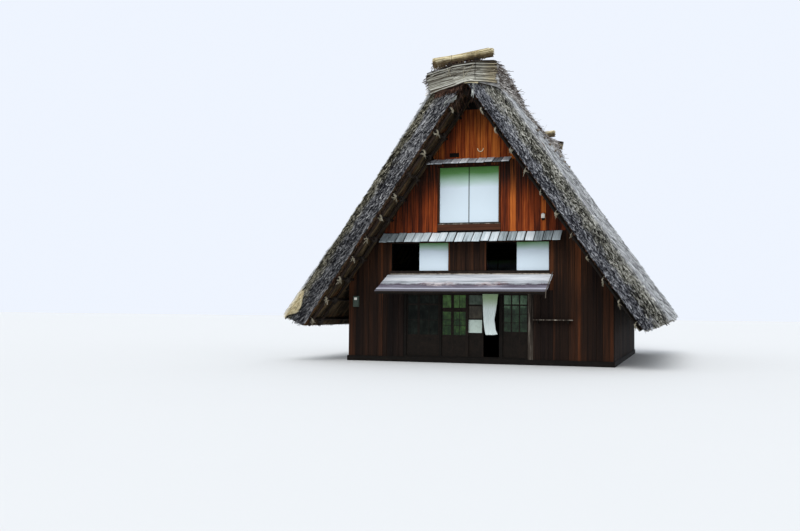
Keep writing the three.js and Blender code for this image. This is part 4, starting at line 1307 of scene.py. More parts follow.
# The two long poles on the cap, with a small bundle tied across them at each place
def ridgePoles():
    draw = random.Random(77)
    past = cap["halfLength"] + 0.05
    thick, runs, ropes, small = bundles["poleRadius"], [], [], bundles["small"]
    for x in bundles["poleX"]:
        path = []
        for i in range(41):
            y = -past + 2 * past * i / 40
            path.append(Vector((x + 0.012 * ripple(y, x, 3), y, capTop(x) - capRun(y)[0] + thick)))
        runs.append((path, (thick, thick * 0.85), draw.random()))
    addTubes("ridge_long_poles", runs, "black", "roof_pole", "ridge_poles", sides=10)
    for i, y in enumerate(small["at"]):
        first, last = (Vector((x, y, capTop(x) - capRun(y)[0] + small["lift"] + small["radius"]))
                       for x in (small["from"], small["to"]))
        addBundle("tie_bundle_" + str(i + 1), first, last, small["radius"], small["straws"],
                  small["thickness"], "stalk", "ridge_thatch", 171 + 7 * i)
        axis = (last - first).normalized()
        for x in bundles["poleX"]:
            centre = first + axis * (x - first.x) / axis.x
            ropes += [(ringPath(centre + axis * step, axis, small["radius"] + 0.008), (0.009, 0.009),
                       draw.random()) for step in (-0.015, 0.015)]
    addTubes("tie_bundle_ropes", ropes, "darkRope", "ridge_thatch", sides=5)


endBundle("front_ridge_bundle", 71)
endBundle("rear_ridge_bundle", 72)
ridgePoles()
print("ridge bundles made")


# Purlins and rafters under the thatch, tied where they cross, with the needle poles through it

poles = {
    "purlins": 11, "first": 0.9, "pitch": 0.73, "purlinRadius": 0.038, "purlinEnd": 5.92,
    "rafterAt": [-5.8, -5.1, 5.1, 5.8], "rafterRadius": 0.043, "rafterTop": 0.15, "rafterFoot": 8.4,
    "depths": {"purlin": 0.040, "knot": 0.065, "rafter": 0.085},
    "needleRadius": 0.042,
    "knot": {"radius": (0.06, 0.10), "rope": (0.012, 0.019), "tufts": (7, 13), "tuft": (0.05, 0.19),
             "paleFrom": 5.5, "missing": 0.12},
    "apexPole": {"radius": 0.085, "z": 7.70, "from": 4.62, "to": 5.86, "strands": 150},
    # ends of pale straw at the tops of the verges, pale as a painted highlight on the lit corners: from and
    # to X seen from their gable, distance along the ridge and Z, and their spread
    "apexTufts": [((0.235, 6.0, 7.88), (0.215, 5.99, 7.53), 0.035),
                  ((-0.60, 5.97, 7.33), (-0.27, 5.97, 7.55), 0.055)],
    "tuftStrands": 46,
}


# A point under a slope, from its distance down the underside and its depth below it
def underSlope(side, along, depth, y):
    return Vector((side * (along * cosPitch - depth * sinPitch), y,
                   roof["innerApex"] - along * sinPitch - depth * cosPitch))


def wavyPath(place, steps, seed, most=0.012):
    return [place(i / steps) + Vector([ripple(i / steps * 4, seed, axis) for axis in (1, 2, 3)]) * most
            for i in range(steps + 1)]


def roofPoles(side, name):
    draw = random.Random(86 + side)
    half, depths, knot = poles["purlinEnd"], poles["depths"], poles["knot"]
    runs = []
    knots = {"paleRope": ([], []), "darkRope": ([], [])}
    for i in range(poles["purlins"]):
        along = poles["first"] + i * poles["pitch"]
        place = lambda share: underSlope(side, along, depths["purlin"], half * (2 * share - 1))
        runs.append((wavyPath(place, 16, i), (poles["purlinRadius"],) * 2, draw.random()))
    for j, y in enumerate(poles["rafterAt"]):
        span = poles["rafterFoot"] - poles["rafterTop"]
        place = lambda share: underSlope(side, poles["rafterTop"] + span * share, depths["rafter"], y)
        runs.append((wavyPath(place, 16, 20 + j), (poles["rafterRadius"],) * 2, draw.random()))
        for i in range(poles["purlins"]):
            along = poles["first"] + i * poles["pitch"] + draw.uniform(-0.03, 0.03)
            # knots nearer the middle than paleFrom, and a share of the outer ones, take the dark rope as
            # painted shade
            pale = abs(y) > knot["paleFrom"] and draw.random() > knot["missing"]
            centre = underSlope(side, along, depths["knot"], y)
            tieKnot(*knots["paleRope" if pale else "darkRope"], centre, side, draw)
    addTubes(name + "_round_poles", runs, "black", "roof_pole", name + "_roof_poles", sides=8)
    for rope, (rings, tufts) in knots.items():
        addTubes(name + "_pole_ropes_" + rope, rings, rope, "roof_pole", sides=4)
        addTubes(name + "_rope_ends_" + rope, tufts, rope, "roof_pole", sides=3)


def tieKnot(ropes, tufts, centre, side, draw):
    knot = poles["knot"]
    radius, rope = draw.uniform(*knot["radius"]), draw.uniform(*knot["rope"])
    downwards = Vector((side * cosPitch, 0, -sinPitch))
    for slant in (-1, 1)[:1 + round(draw.random())]:
        across = Vector((0, slant * draw.uniform(0.5, 1.4), draw.uniform(-0.3, 0.3)))
        axis = (downwards + across).normalized()
        for step in (-rope, rope):
            ropes.append((ringPath(centre + axis * step, axis, radius, 0.8), (rope,) * 2, draw.random()))
    root = centre - Vector((side * sinPitch, 0, cosPitch)) * radius * 0.7
    for _ in range(draw.randint(*knot["tufts"])):
        lean = Vector((draw.uniform(-0.4, 0.7) * side, draw.uniform(-0.6, 0.6), -draw.uniform(0.2, 1)))
        lean *= draw.uniform(*knot["tuft"])
        tufts.append(([root, root + lean * 0.5, root + lean], (rope, 0.005), draw.random()))


def needlePoles():
    runs, radius = [], poles["needleRadius"]
    for i in range(needle["count"]):
        y = (i - (needle["count"] - 1) / 2) * needle["pitch"]
        place = lambda share: Vector(((2 * share - 1) * needle["reach"], y, needle["z"]))
        runs.append((wavyPath(place, 8, 40 + i, 0.006), (radius * 0.95,) * 2, 0.4 + 0.06 * i))
    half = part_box("needle_poles")[1].y
    beam = [Vector((0, y, needle["z"] - radius - 0.04)) for y in (-half, half)]
    runs.append((beam, (0.045, 0.045), 0.2))
    addTubes("needle_round_poles", runs, "rough", "roof_pole", "needle_poles", sides=8)


# A short dark pole and hanging dark straw close the point of the roof over each gable, standing in for the
# shade there
def apexPoles():
    pole, runs, strands, tufts = poles["apexPole"], [], [], []
    near, far = pole["from"], pole["to"]
    draw = random.Random(93)
    for end in (-1, 1):
        path = [Vector((0, end * y, pole["z"])) for y in (near, (near + far) / 2, far)]
        runs.append((path, (pole["radius"],) * 2, 0.4))
        for _ in range(pole["strands"]):
            x = draw.uniform(-0.42, 0.42)
            root = Vector((x, end * draw.uniform(near + 0.2, roof["verge"] - 0.05), undersideZ(x) + 0.02))
            drop = draw.uniform(0.1, 0.34)
            tip = root + Vector((x * -0.15 + draw.uniform(-0.06, 0.06), draw.uniform(-0.06, 0.06), -drop))
            strands.append(hangStraw(root, tip, (0.009, 0.004), draw))
        for first, last, radius in poles["apexTufts"]:
            start, stop = (Vector((-end * at[0], end * at[1], at[2])) for at in (first, last))
            for _ in range(poles["tuftStrands"]):
                here, there = (Vector([draw.uniform(-1, 1) for _ in range(3)]) * radius for _ in range(2))
                root, tip = start + here * 0.7, start + (stop - start) * draw.uniform(0.6, 1.1) + there
                path = [root, (root + tip) / 2 + here * 0.2, tip]
                tufts.append((path, (0.010, 0.005), draw.random()))
    addTubes("apex_tufts", tufts, "paleStalk", "thatch", sides=4)
    addTubes("apex_poles", runs, "black", "roof_pole", sides=10)
    addTubes("apex_straw", strands, "darkStalk", "thatch", sides=4)


for name, side in sides.items():
    roofPoles(side, name)
needlePoles()
apexPoles()
print("poles under the thatch made")


# Vertical boards on a gable wall, cut to the slopes and round the windows

walls = {
    "thirdTop": 7.48, "thirdBottom": 3.853, "secondBottom": 2.142, "apexTop": 8.2, "foot": 0.152,
    "reach": 4.2, "apexReach": 0.5, "corner": 3.95,
    "redWidths": (0.11, 0.22), "darkWidths": (0.17, 0.28), "groundWidths": (0.16, 0.24),
    "longFrom": (-2.72, 2.26),        # outside these the boards run from the sill up to the thatch
    # windows, as X from and to, Z from and to
    "thirdHole": (-1.15, 0.71, 3.86, 5.80),
    "secondHoles": [(-2.62, -0.79, 2.64, 3.56), (0.29, 2.16, 2.64, 3.56)],
    # boards all over the upper gable, and dark ones of the second storey, whose tone is set, from X to X
    "redMarks": [
        (-2.05, -1.75, 0.28), (-1.65, -1.44, 0.45), (-1.44, -1.31, 0.5), (-1.31, -1.17, 0.72),
        (-0.62, -0.45, 0.46), (-0.45, -0.35, 0.40), (-0.35, -0.22, 0.60), (-0.22, 0.0, 0.56),
        (0.0, 0.13, 0.70), (0.13, 0.48, 0.66), (0.74, 0.92, 0.33), (0.92, 1.01, 0.42), (1.01, 1.19, 1.0),
        (1.19, 1.36, 0.42), (1.36, 1.55, 0.62), (1.55, 1.72, 0.50), (1.72, 1.9, 0.30), (1.9, 2.06, 0.78)],
    "darkMarks": [(-0.79, 0.29, 0.24), (2.26, 2.46, 0.25), (2.70, 2.88, 0.60), (2.88, 3.05, 1.0),
                  (3.05, 3.22, 0.62)],
}


# Where each board starts and stops. A width is drawn as its board comes up
def boardEdges(start, stop, widths, draw):
    while start < stop - 0.02:
        wide = draw.uniform(*widths)
        edge = stop if stop - start < wide * 1.5 else start + wide
        yield start, edge
        start = edge


def boardWall(name, finish, slot, area, holes, widths, seed, end, thickness=0.016, marks=()):
    left, right, bottom, top = area
    draw = random.Random(seed)
    stops = sorted({left, right} | {x for cut in (*marks, *holes) for x in cut[:2]})
    points, faces, tones = [], [], []
    for start, stop in zip(stops, stops[1:]):
        for x, edge in boardEdges(start, stop, widths, draw):
            spans = [(bottom, top)]
            for x0, x1, z0, z1 in holes:
                if x0 < (x + edge) / 2 < x1:
                    spans = [part for low, high in spans
                             for part in ((low, min(high, z0)), (max(low, z1), high))]
            for low, high in spans:
                fixed = [tone for x0, x1, tone in marks if x0 < (x + edge) / 2 < x1]
                tone = fixed[0] if fixed else draw.uniform(0.0, 0.85)
                gap = draw.uniform(0.004, 0.013)
                board = cutBoard(x, edge - gap, low, high, thickness, draw)
                base = len(points)
                points += board
                if board:
                    faces += [[base + corner for corner in face] for face in boardFaces]
                    tones += [tone] * len(boardFaces)
    mesh = bevelled(meshFrom(name, points, faces, tones))
    addPiece(name, turned(mesh, end), finish, slot)


# The corners of one board, its top cut to the slopes, or none where the slopes leave no room for it
def cutBoard(x0, x1, low, high, thickness, draw):
    tops = [min(high, undersideZ(x) - 0.01) for x in (x0, x1)]
    if min(tops) < low + 0.02:
        return []
    outline = [(x0, low), (x1, low), (x1, tops[1]), (x0, tops[0])]
    proud = thickness + draw.uniform(-0.004, 0.006)
    turn = draw.uniform(-0.003, 0.003)
    return ([(x, wallY - proud - turn * (x > x0), z) for x, z in outline]
            + [(x, wallY + 0.004, z) for x, z in outline])


boardFaces = [(0, 1, 2, 3), (7, 6, 5, 4), (0, 4, 5, 1), (1, 5, 6, 2), (2, 6, 7, 3), (3, 7, 4, 0)]


def gableBoards(end, seed):
    half, top = walls["reach"], walls["thirdTop"]
    boardWall(end + "_gable_boards", "red", "red_board", (-half, half, walls["thirdBottom"], top),
              [walls["thirdHole"]], walls["redWidths"], seed, end, marks=walls["redMarks"])
    # the boards at the point of the gable are black: painted shade under the point of the roof
    half = walls["apexReach"]
    boardWall(end + "_apex_boards", "black", "red_board", (-half, half, top, walls["apexTop"]),
              [], walls["redWidths"], seed + 2, end, thickness=0.03)
    left, right = walls["longFrom"]
    corner, foot, top = walls["corner"], walls["foot"], walls["thirdBottom"]
    areas = [(left, right, walls["secondBottom"], top),
             (-corner, left, foot, top), (right, corner, foot, top)]
    for number, area in enumerate(areas):
        marks = [mark for mark in walls["darkMarks"] if area[0] <= mark[0] and mark[1] <= area[1]]
        holes = [] if number else walls["secondHoles"]
        boardWall(end + "_second_storey_boards_" + str(number + 1), "dark", "dark_board", area,
                  holes, walls["darkWidths"], seed + 1 + number, end, marks=marks)


# The ground storey: boards beside the doors, on both sides of the house and round the rear window
def groundBoards():
    (left, right), widths = walls["longFrom"], walls["groundWidths"]
    low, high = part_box("front_wall_left")
    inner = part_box("front_wall_right")[0].x
    window = leafBox("rear_lattice_window", "rear")
    hole = (window[0].x - 0.01, window[1].x + 0.01, window[0].z - 0.01, window[1].z + 0.01)
    for name, x0, x1, holes, seed, end in (
            ("front_ground_boards_1", left, high.x, [], 141, "front"),
            ("front_ground_boards_2", inner, right, [], 142, "front"),
            ("rear_wall_boards", left, right, [hole], 144, "rear")):
        boardWall(name, "ground", "dark_board", (x0, x1, low.z, high.z), holes, widths, seed, end)
    for name, side in sides.items():
        node = name + "_side_wall"
        low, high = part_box(node)
        draw = random.Random(146 + side)
        face = high.x if side > 0 else low.x
        boxes = []
        for y, edge in boardEdges(low.y, high.y, widths, draw):
            proud = side * (0.013 + draw.uniform(-0.003, 0.004))
            near, far = sorted((face - side * 0.004, face + proud))
            gap = draw.uniform(0.004, 0.012)
            boxes.append(((near, y, low.z), (far, edge - gap, high.z), draw.random()))
        addBoxes(node + "_boards", boxes, "ground", "dark_board")


for seed, end in enumerate(ends):
    gableBoards(end, 81 + 10 * seed)
groundBoards()
print("wall boards made")


# Pent roofs of short boards, each on a dark under-layer with two battens

pents = {
    "upper": {"boards": 10, "drop": 0.175, "thickness": 0.024, "finish": "silver", "seed": 101},
    "middle": {"boards": 21, "drop": 0.28, "thickness": 0.026, "finish": "pale", "seed": 105},
    "underThickness": 0.012, "batten": 0.035, "battenAt": [(0.02, 0.06), (0.30, 0.34)],
}


# Lays what is made flat, with its back edge on the X axis, on the slope of a small roof
def pentPlace(start, back, top, slope):
    return Matrix.Translation((start, back, top)) @ Matrix.Rotation(slope, 4, "X")


def pentRoof(end, kind, number):
    pent = pents[kind]
    node = end + "_" + kind + "_pent_roof"
    low, high = leafBox(node, end)
    wide, depth, thick = high.x - low.x, high.y - low.y, pent["thickness"]
    length = math.hypot(depth, pent["drop"])
    mesh = grow(flows["boards"], {
        "Boards": pent["boards"], "Pitch": wide / pent["boards"], "Length": length, "Thickness": thick,
        "Unevenness": 0.014, "Lift": 0.006, "Shifts": 0.025, "Seed": pent["seed"] + 10 * number,
        "Material": finishes[pent["finish"]]})
    place = pentPlace(low.x, high.y, high.z - 0.016, math.atan2(pent["drop"], depth))
    mesh.transform(place)
    addPiece(node + "_boards", bevelled(turned(mesh, end)), pent["finish"], "grey_board", node)
    under = -thick / 2 - 0.004
    foot = under - pents["underThickness"]
    boxes = [((0.05, -length + 0.03, foot), (wide - 0.05, -0.004, under), 0.3)]
    boxes += [((0.03, -far, foot - pents["batten"]), (wide - 0.03, -near, foot + 0.001), 0.5)
              for near, far in pents["battenAt"]]
    addBoxes(node + "_under", boxes, "black", "black_wood", end=end, place=place)


for number, end in enumerate(ends):
    for kind in ("upper", "middle"):
        pentRoof(end, kind, number)


# The canopy: long boards along the wall, an edge strip, and a pole down its right edge

canopy = {
    "drop": 0.52, "rows": 5, "thickness": 0.022,
    "edge": {"height": 0.040, "depth": 0.010},
    "pole": {"x": 2.245, "radius": 0.014, "past": 0.05, "tail": (2.235, -5.79, 1.90)},
}


def canopyRoof():
    low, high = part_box("canopy_roof")
    wide, depth = high.x - low.x, high.y - low.y
    length = math.hypot(depth, canopy["drop"])
    place = pentPlace(low.x, high.y, high.z - 0.012, math.atan2(canopy["drop"], depth))
    mesh = grow(flows["boards"], {
        "Boards": canopy["rows"], "Pitch": length / canopy["rows"], "Length": wide,
        "Thickness": canopy["thickness"], "Unevenness": 0.006, "Lift": 0.002, "Twist": 0.0015, "Seed": 121,
        "Material": finishes["canopy"]})
    mesh.transform(Matrix.Translation((0, -length, 0)) @ Matrix.Rotation(math.pi / 2, 4, "Z"))
    mesh.transform(place)
    addPiece("canopy_boards", bevelled(mesh), "canopy", "grey_board", "canopy_roof")
    edge, pole = canopy["edge"], canopy["pole"]
    strip = ((0.01, -length - edge["depth"], -edge["height"]), (wide - 0.01, -length, 0.004), 0.7)
    addBoxes("canopy_edge", [strip], "black", "grey_board", place=place)
    corner = Vector((pole["x"], low.y - 0.02, high.z - canopy["drop"] + 0.02))
    path = [Vector((pole["x"], high.y - 0.02, high.z + pole["past"])), corner, Vector(pole["tail"])]
    radii = (pole["radius"], pole["radius"] * 0.8)
    addTubes("canopy_pole", [(path, radii, 0.5)], "rough", "roof_pole", sides=8)


canopyRoof()
print("board roofs made")


# Windows and doors: frames of stiles and rails with sunk panes. A sliding leaf is in its own body

# rows and columns are the spans of the panes, bars and uprights the thin strips across them
leaves = [
    {"name": "left_screen", "node": "left_glazed_screen", "pane": "darkGlass",
     "columns": [(-2.075, -1.785), (-1.715, -1.145)], "rows": [(0.82, 1.69), (1.74, 1.99)],
     "bars": [1.25], "uprights": [-1.43]},
    {"name": "glazed_leaf", "node": "glazed_door", "pane": "gardenGlass", "body": "glazed_door",
     "columns": [(-1.000, -0.745), (-0.660, -0.305)], "rows": [(0.82, 1.50), (1.62, 1.99)], "short": 0.005,
     "bars": [1.10, 1.26], "uprights": [-0.49]},
    {"name": "lattice", "node": "lattice_window", "pane": "greyGlass", "even": (3, 0.035),
     "rows": [(0.94, 1.69), (1.73, 1.99)], "bars": [1.2, 1.45]},
    {"name": "rear_lattice", "node": "rear_lattice_window", "pane": "darkGlass", "even": (6, 0.035),
     "rows": [(0.95, 1.40), (1.44, 1.75)], "end": "rear"},
]
joinery = {
    "thin": 0.008,                       # half the width of a thin strip
    "overlap": 0.001,                    # how far rails and strips run into what holds them
    "rail": 0.002, "strip": 0.003, "pane": 0.006,     # how far each lies back from the stiles' face
}


# The solid spans between and beside the open ones
def solidSpans(low, spans, high):
    stops = [low] + [stop for span in sorted(spans) for stop in span] + [high]
    return enumerate(zip(stops[0::2], stops[1::2]))


def evenSpans(left, right, count, bar):
    pitch = (right - left - bar) / count
    return [(left + bar + i * pitch, left + (i + 1) * pitch) for i in range(count)]


# A bar or sheet of a leaf, from its spans along X and in height and how far it lies back
def leafBar(low, high, x0, x1, z0, z1, back=0.0, tone=0.5):
    return (x0, low.y + back, z0), (x1, high.y - back, z1), tone


# A leaf may be short of its node's box on the right, to clear the post there
def framedLeaf(name, node, pane, rows, columns=(), even=(), bars=(), uprights=(), body="house", end="front",
               short=0.0):
    low, high = leafBox(node, end)
    high = high - Vector((short, 0, 0))
    columns = columns or evenSpans(low.x, high.x, *even)
    thin, over, strip = joinery["thin"], joinery["overlap"], joinery["strip"]
    boxes = [leafBar(low, high, x0, x1, low.z, high.z, tone=0.2 + 0.13 * (i % 5))
             for i, (x0, x1) in solidSpans(low.x, columns, high.x)]
    sheets = []
    for x0, x1 in columns:
        boxes += [leafBar(low, high, x0 - over, x1 + over, z0, z1, joinery["rail"], 0.3 + 0.11 * (j % 4))
                  for j, (z0, z1) in solidSpans(low.z, rows, high.z)]
        for z0, z1 in rows:
            sheets.append(leafBar(low, high, x0, x1, z0, z1, joinery["pane"]))
            boxes += [leafBar(low, high, x0 - over, x1 + over, z - thin, z + thin, strip)
                      for z in bars if z0 < z < z1]
    boxes += [leafBar(low, high, x - thin, x + thin, z0 - over, z1 + over, strip)
              for x in uprights for z0, z1 in rows]
    addBoxes(name + "_frame", boxes, "black", "black_wood", node, bevel=0.002, end=end, body=body)
    addBoxes(name + "_panes", sheets, pane, "glazing", bevel=0, end=end, body=body)


# The entrance leaf has three kinds of pane, so its sheets are pieces of their own
entrance = {
    "panes": {"paleGlass": (1.72, 1.99), "brownPane": (1.31, 1.67), "plainPaper": (0.89, 1.27)},
    "stile": 0.045,
}


def entranceLeaf():
    node, spans, over = "entrance_door", entrance["panes"], joinery["overlap"]
    low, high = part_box(node)
    x0, x1 = low.x + entrance["stile"], high.x - entrance["stile"]
    boxes = [leafBar(low, high, low.x, x0, low.z, high.z, tone=0.3),
             leafBar(low, high, x1, high.x, low.z, high.z, tone=0.45)]
    boxes += [leafBar(low, high, x0 - over, x1 + over, z0, z1, joinery["rail"], 0.3 + 0.1 * j)
              for j, (z0, z1) in solidSpans(low.z, spans.values(), high.z)]
    addBoxes("entrance_frame", boxes, "black", "black_wood", node, bevel=0.002, body=node)
    for finish, (z0, z1) in spans.items():
        sheet = [leafBar(low, high, x0, x1, z0, z1, joinery["pane"])]
        slot = "screen_paper" if finish == "plainPaper" else "glazing"
        addBoxes("entrance_" + finish, sheet, finish, slot, bevel=0, body=node)


screens = {"edge": 0.016, "stile": 0.012, "whiteEdge": 0.024, "middle": -0.22}


# A paper screen with thin light edges, and a dark stile with a white edge where two panels meet
def paperScreens(node, end, paper, middle=None):
    low, high = leafBox(node, end)
    edge, y0, y1 = screens["edge"], low.y, high.y
    half, front = edge / 2, y0 + joinery["pane"]
    sheet = (low.x + half, front, low.z + half), (high.x - half, y1, high.z - half), 0.5
    addBoxes(node + "_sheet", [sheet], paper, "screen_paper", node, bevel=0, end=end)
    spans = [(low.x, low.x + edge, low.z, high.z, y0), (high.x - edge, high.x, low.z, high.z, y0),
             (low.x + edge, high.x - edge, low.z, low.z + edge, y0),
             (low.x + edge, high.x - edge, high.z - edge, high.z, y0)]
    if middle is not None:
        stile = screens["stile"]
        spans.append((middle + stile, middle + screens["whiteEdge"], low.z, high.z, y0 - 0.004))
        box = ((middle - stile, y0 - 0.006, low.z), (middle + stile, y1, high.z), 0.5)
        addBoxes(node + "_stile", [box], "black", "black_wood", bevel=0.002, end=end)
    rim = [((x0, y, z0), (x1, y1, z1), 0.9) for x0, x1, z0, z1, y in spans]
    addBoxes(node + "_rim", rim, paper, "screen_paper", bevel=0.002, end=end)


for leaf in leaves:
    framedLeaf(**leaf)
entranceLeaf()
for end in ends:
    paperScreens(end + "_upper_window_screens", end, "paperHigh", screens["middle"])
    for side in sides:
        node = end + "_" + side + "_window_screen"
        low, high = leafBox(node, end)
        paperScreens(node, end, "paperLow", (low.x + high.x) / 2 if end == "rear" else None)
print("doors and windows made")


# Sills, jambs and edge strips round the windows of both gables

trims = {
    # on the front gable: finish, X from and to, Z from and to, how far proud
    "sills": [
        ("sill", -1.16, 0.74, 3.90, 4.075, 0.056), ("rough", -1.15, 0.73, 4.078, 4.10, 0.066),
        ("black", -2.63, 2.17, 2.63, 2.700, 0.060), ("rough", -2.62, 2.16, 2.60, 2.628, 0.052)],
    "windows": [(-1.11, 0.67, 4.135, 5.775), (-2.6, -0.83, 2.715, 3.54), (0.31, 2.14, 2.715, 3.54)],
    "jamb": 0.045, "jambProud": 0.022,
    "notch": (-0.81, -0.52, 6.08, 6.205, 0.026),   # the gap over the upper pent roof, as painted shade
    "loop": {"x": 0.13, "z": 6.30, "radius": 0.085, "rope": 0.012, "proud": 0.035},
}


def onWall(x0, x1, z0, z1, proud, tone):
    return (x0, wallY - proud, z0), (x1, wallY - 0.001, z1), tone


def gableTrims(end):
    for number, (finish, *span) in enumerate(trims["sills"]):
        box = onWall(*span, 0.35 + 0.2 * number)
        addBoxes(end + "_gable_sill_" + str(number + 1), [box], finish, "black_wood", end=end)
    boxes, wide, proud = [], trims["jamb"], trims["jambProud"]
    for x0, x1, z0, z1 in trims["windows"]:
        boxes += [onWall(x0 - wide, x0, z0, z1, proud, 0.75), onWall(x1, x1 + wide, z0, z1, proud, 0.85),
                  onWall(x0 - wide, x1 + wide, z1, z1 + wide * 0.8, proud, 0.3)]
    addBoxes(end + "_window_jambs", boxes, "dark", "dark_board", end=end)


# A black notch of painted shade and a loop of rope on the front gable
def gableMarks():
    addBoxes("gable_notch", [onWall(*trims["notch"], 0.1)], "black", "black_wood")
    loop = trims["loop"]
    turns = [math.pi * (0.95 + 1.1 * i / 8) for i in range(9)]
    path = [Vector((loop["x"] + loop["radius"] * math.cos(turn), wallY - loop["proud"],
                    loop["z"] + loop["radius"] * math.sin(turn))) for turn in turns]
    addTubes("gable_loop", [(path, (loop["rope"],) * 2, 0.9)], "fresh", "roof_pole")


for end in ends:
    gableTrims(end)
    if end == "front":
        gableMarks()
print("window trims made")


# The curtain hangs from the rod on a sleeve, in soft folds, with its lower right corner blown outwards

curtain = {
    "flat": (0.52, 1.25), "columns": 28, "rows": 60, "thickness": 0.002,
    "sleeve": 0.0125, "sleeveRows": 9, "rod": 0.009, "gap": 0.0003,
    "fold": 0.014, "folds": 6.5, "blow": 0.06,
    # how far its left and right edges draw in, as shares of its width, from the rod down to the hem
    "draw": [(0, 0.05, 0), (0.30, 0.08, 0.09), (0.62, 0.12, 0.22), (0.87, 0.19, 0.13), (1, 0.26, 0)],
}


def makeCurtain():
    low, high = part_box("door_curtain")
    rod = Vector((0, (low.y + high.y) / 2, high.z + curtain["gap"] + curtain["rod"]))
    wide, rows, columns = high.x - low.x, curtain["rows"], curtain["columns"]
    sleeve, sleeveRows = curtain["sleeve"], curtain["sleeveRows"]
    points = []
    for i in range(rows + 1):
        if i < sleeveRows:
            turn = math.pi * (1 - i / (sleeveRows - 1))
            y = rod.y + sleeve * math.cos(turn)
            y0, z, hang = 2 * rod.y - y, rod.z + sleeve * math.sin(turn), 0
        else:
            hang = (i - sleeveRows + 1) / (rows - sleeveRows + 1)
            y0, z = rod.y - sleeve, rod.z - (rod.z - low.z) * hang
        leftIn, rightIn = readTable(curtain["draw"], hang)
        deep = curtain["fold"] * (1 + 2.2 * (leftIn + rightIn)) * blendSteps(0, 0.4, hang)
        for j in range(columns + 1):
            u = j / columns
            x = low.x + wide * (leftIn + u * (1 - leftIn - rightIn))
            fold = deep * math.sin(2 * math.pi * curtain["folds"] * u + 2.2 * hang)
            blow = curtain["blow"] * blendSteps(0.75, 1, hang) * blendSteps(0.5, 1, u)
            lift = 0.02 * blendSteps(0.85, 1, hang) * blendSteps(0.6, 1, u)
            points.append(Vector((x, y0 - fold * 0.5 - blow, z + lift)))
    stride = columns + 1
    faces = [(i * stride + j, i * stride + j + 1, (i + 1) * stride + j + 1, (i + 1) * stride + j)
             for i in range(rows) for j in range(columns)]
    mesh = meshFrom("curtain_cloth", points, faces)
    mesh = shaped(mesh, "SOLIDIFY", {"thickness": curtain["thickness"], "offset": 0})
    faceOutwards(mesh)
    smoothShade(mesh)
    cloth = addPiece("curtain_cloth", mesh, "cloth", "cloth", "door_curtain")


makeCurtain()
print("curtain hung")


# Small parts: wall lamp, meter box, shelf and rough post

fittings = {
    "lamp": {"inset": (0.008, 0.02, 0.06), "top": (0.03, 0.035, 0.015)},
    "lens": {"profile": [(-0.030, 0.020), (-0.026, 0.036), (0.0, 0.044), (0.034, 0.046)],   # height, radius
             "steps": 20, "place": (0, -0.004, 0.028)},
    "meter": {"door": 0.012, "doorFront": (0.006, 0.021), "window": 0.045, "windowFoot": 0.12,
              "windowFront": (-0.001, 0.012), "back": 0.02},
    "shelf": {"arms": (0.12, -0.15), "arm": 0.03, "drop": 0.09, "thin": 0.006},
}


# A closed solid of revolution about Z
def addTurned(name, profile, steps, centre, finish, slot):
    turns = [2 * math.pi * i / steps for i in range(steps)]
    points = [Vector((radius * math.cos(turn), radius * math.sin(turn), height))
              for height, radius in profile for turn in turns]
    last = (len(profile) - 1) * steps
    faces = [(k + i, k + (i + 1) % steps, k + steps + (i + 1) % steps, k + steps + i)
             for k in range(0, last, steps) for i in range(steps)]
    faces += [list(range(steps))[::-1], list(range(last, last + steps))]
    mesh = meshFrom(name, points, faces)
    mesh.transform(Matrix.Translation(centre))
    faceOutwards(mesh)
    addPiece(name, mesh, finish, slot)


# The box from one point to another, each given as steps from a node's low or high corner
def stepBox(near, low, far, high, tone=0.5):
    return near + Vector(low), far + Vector(high), tone


def wallLamp():
    low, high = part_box("wall_lamp")
    lamp, lens = fittings["lamp"], fittings["lens"]
    (side, front, foot), top = lamp["inset"], lamp["top"]
    body = [stepBox(low, (side, front, foot), high, (-side, 0, 0)),
            ((low.x + top[0], low.y + top[1], high.z), (high.x - top[0], high.y, high.z + top[2]), 0.5)]
    addBoxes("lamp_body", body, "ivory", "white_enamel", "wall_lamp", bevel=0.010)
    x, y, z = lens["place"]
    middle = Vector(((low.x + high.x) / 2 + x, (low.y + high.y) / 2 + y, low.z + z))
    addTurned("lamp_lens", lens["profile"], lens["steps"], middle, "darkGlass", "black_wood")


def meterBox():
    meter = fittings["meter"]
    low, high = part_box("meter_box")
    edge, (front, back) = meter["door"], meter["doorFront"]
    case = [stepBox(low, (0, meter["back"], 0), high, (0, 0, 0)),
            ((low.x + edge, low.y + front, low.z + edge),
             (high.x - edge, low.y + back, high.z - edge), 0.6)]
    addBoxes("meter_case", case, "greyEnamel", "grey_enamel", "meter_box", bevel=0.008)
    edge, (front, back) = meter["window"], meter["windowFront"]
    window = ((low.x + edge, low.y + front, high.z - meter["windowFoot"]),
              (high.x - edge, low.y + back, high.z - edge), 0.5)
    addBoxes("meter_window", [window], "ivory", "grey_enamel", bevel=0.004)


def wallShelf():
    shelf = fittings["shelf"]
    low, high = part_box("wall_shelf")
    arms = [((x, low.y + 0.03, low.z - shelf["drop"]), (x + shelf["arm"], high.y, low.z + 0.005), 0.1)
            for x in (low.x + shelf["arms"][0], high.x + shelf["arms"][1])]
    plank = stepBox(low, (0, 0, shelf["thin"]), high, (0, 0, 0), 0.6)
    addBoxes("shelf_plank", [plank], "weathered", "rough_wood", "wall_shelf")
    addBoxes("shelf_arms", arms, "black", "rough_wood")


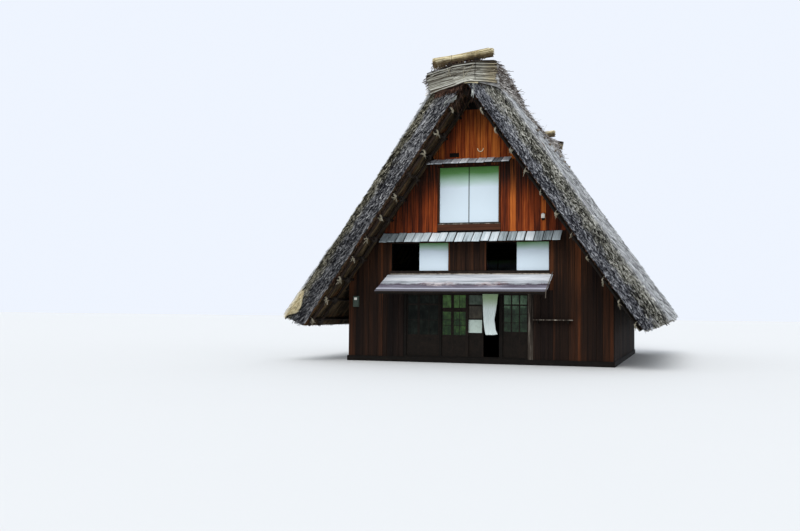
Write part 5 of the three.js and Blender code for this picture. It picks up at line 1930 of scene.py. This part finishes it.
# The weathered post right of the lattice window: uneven faces, split along the grain
def roughPost():
    low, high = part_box("rough_post")
    centre, size = (low + high) / 2, (high - low) / 2

    def place(a, b, c):
        z = low.z + (high.z - low.z) * c
        bump = 1 + 0.10 * ripple(a * 5, b * 5, z * 1.3) + 0.06 * ripple(a * 14, b * 14, z * 2.6)
        corner = 1 - 0.10 * (abs(2 * a - 1) * abs(2 * b - 1)) ** 3
        swell = min(1, bump * corner)
        return Vector((centre.x + size.x * (2 * a - 1) * swell, centre.y + size.y * (2 * b - 1) * swell, z))

    mesh = blockSkin("rough_post_body", (8, 8, 60), place, {})
    addPiece("rough_post_body", mesh, "weathered", "rough_wood", "rough_post")


wallLamp()
meterBox()
wallShelf()
roughPost()
print("small parts made")


# The nodes that keep their own shape take a finish each

keptFinishes = {
    "black": ["ground_sill", "door_frame", "canopy_frame", "left_side_wall", "right_side_wall",
              "front_wall_left", "front_wall_right", "rear_wall", "front_second_storey_wall",
              "rear_second_storey_wall", "front_gable_wall", "rear_gable_wall", "a_frame_1", "a_frame_2",
              "a_frame_3", "a_frame_4"],
    "floor": ["ground_floor", "second_floor", "third_floor"],
}
for finish, nodes in keptFinishes.items():
    for node in nodes:
        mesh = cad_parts[node].data
        mesh.materials.clear()
        mesh.materials.append(finishes[finish])
print("kept nodes dressed")


# Studio: a pale floor, a pale surround and one large soft sun

studio = {
    "floor": (0.72, 0.72, 0.70), "patch": (0.66, 0.66, 0.65), "half": 150, "z": -0.002,
    "sky": (0.86, 0.91, 1.0), "skyLight": 1.0, "sun": 1.6, "sunAngle": 40, "sunTurn": (42, 12, -12),
}


def makeStudio():
    mesh = bpy.data.meshes.new("studio_floor")
    half = studio["half"]
    corners = [(-half, -half), (half, -half), (half, half), (-half, half)]
    mesh.from_pydata([(x, y, studio["z"]) for x, y in corners], [], [(0, 1, 2, 3)])
    floor = bpy.data.objects.new("studio_floor", mesh)
    finish = Finish("studio_floor")
    soft = finish.place.noise((1, 1, 1), 2, 0.5, 0.5)
    mesh.materials.append(finish.give(finish.mix(soft * 0.1, studio["floor"], studio["patch"]), 0.9))
    scene.collection.objects.link(floor)
    world = bpy.data.worlds.new("soft_sky")
    world.use_nodes = True
    back = world.node_tree.nodes["Background"]
    back.inputs["Color"].default_value = (*studio["sky"], 1)
    back.inputs["Strength"].default_value = studio["skyLight"]
    scene.world = world
    sun = bpy.data.objects.new("soft_sun", bpy.data.lights.new("soft_sun", "SUN"))
    sun.data.energy = studio["sun"]
    sun.data.angle = math.radians(studio["sunAngle"])
    scene.collection.objects.link(sun)
    sun.rotation_euler = [math.radians(turn) for turn in studio["sunTurn"]]
    scene.view_settings.view_transform = "Standard"


makeStudio()
print("studio lit")
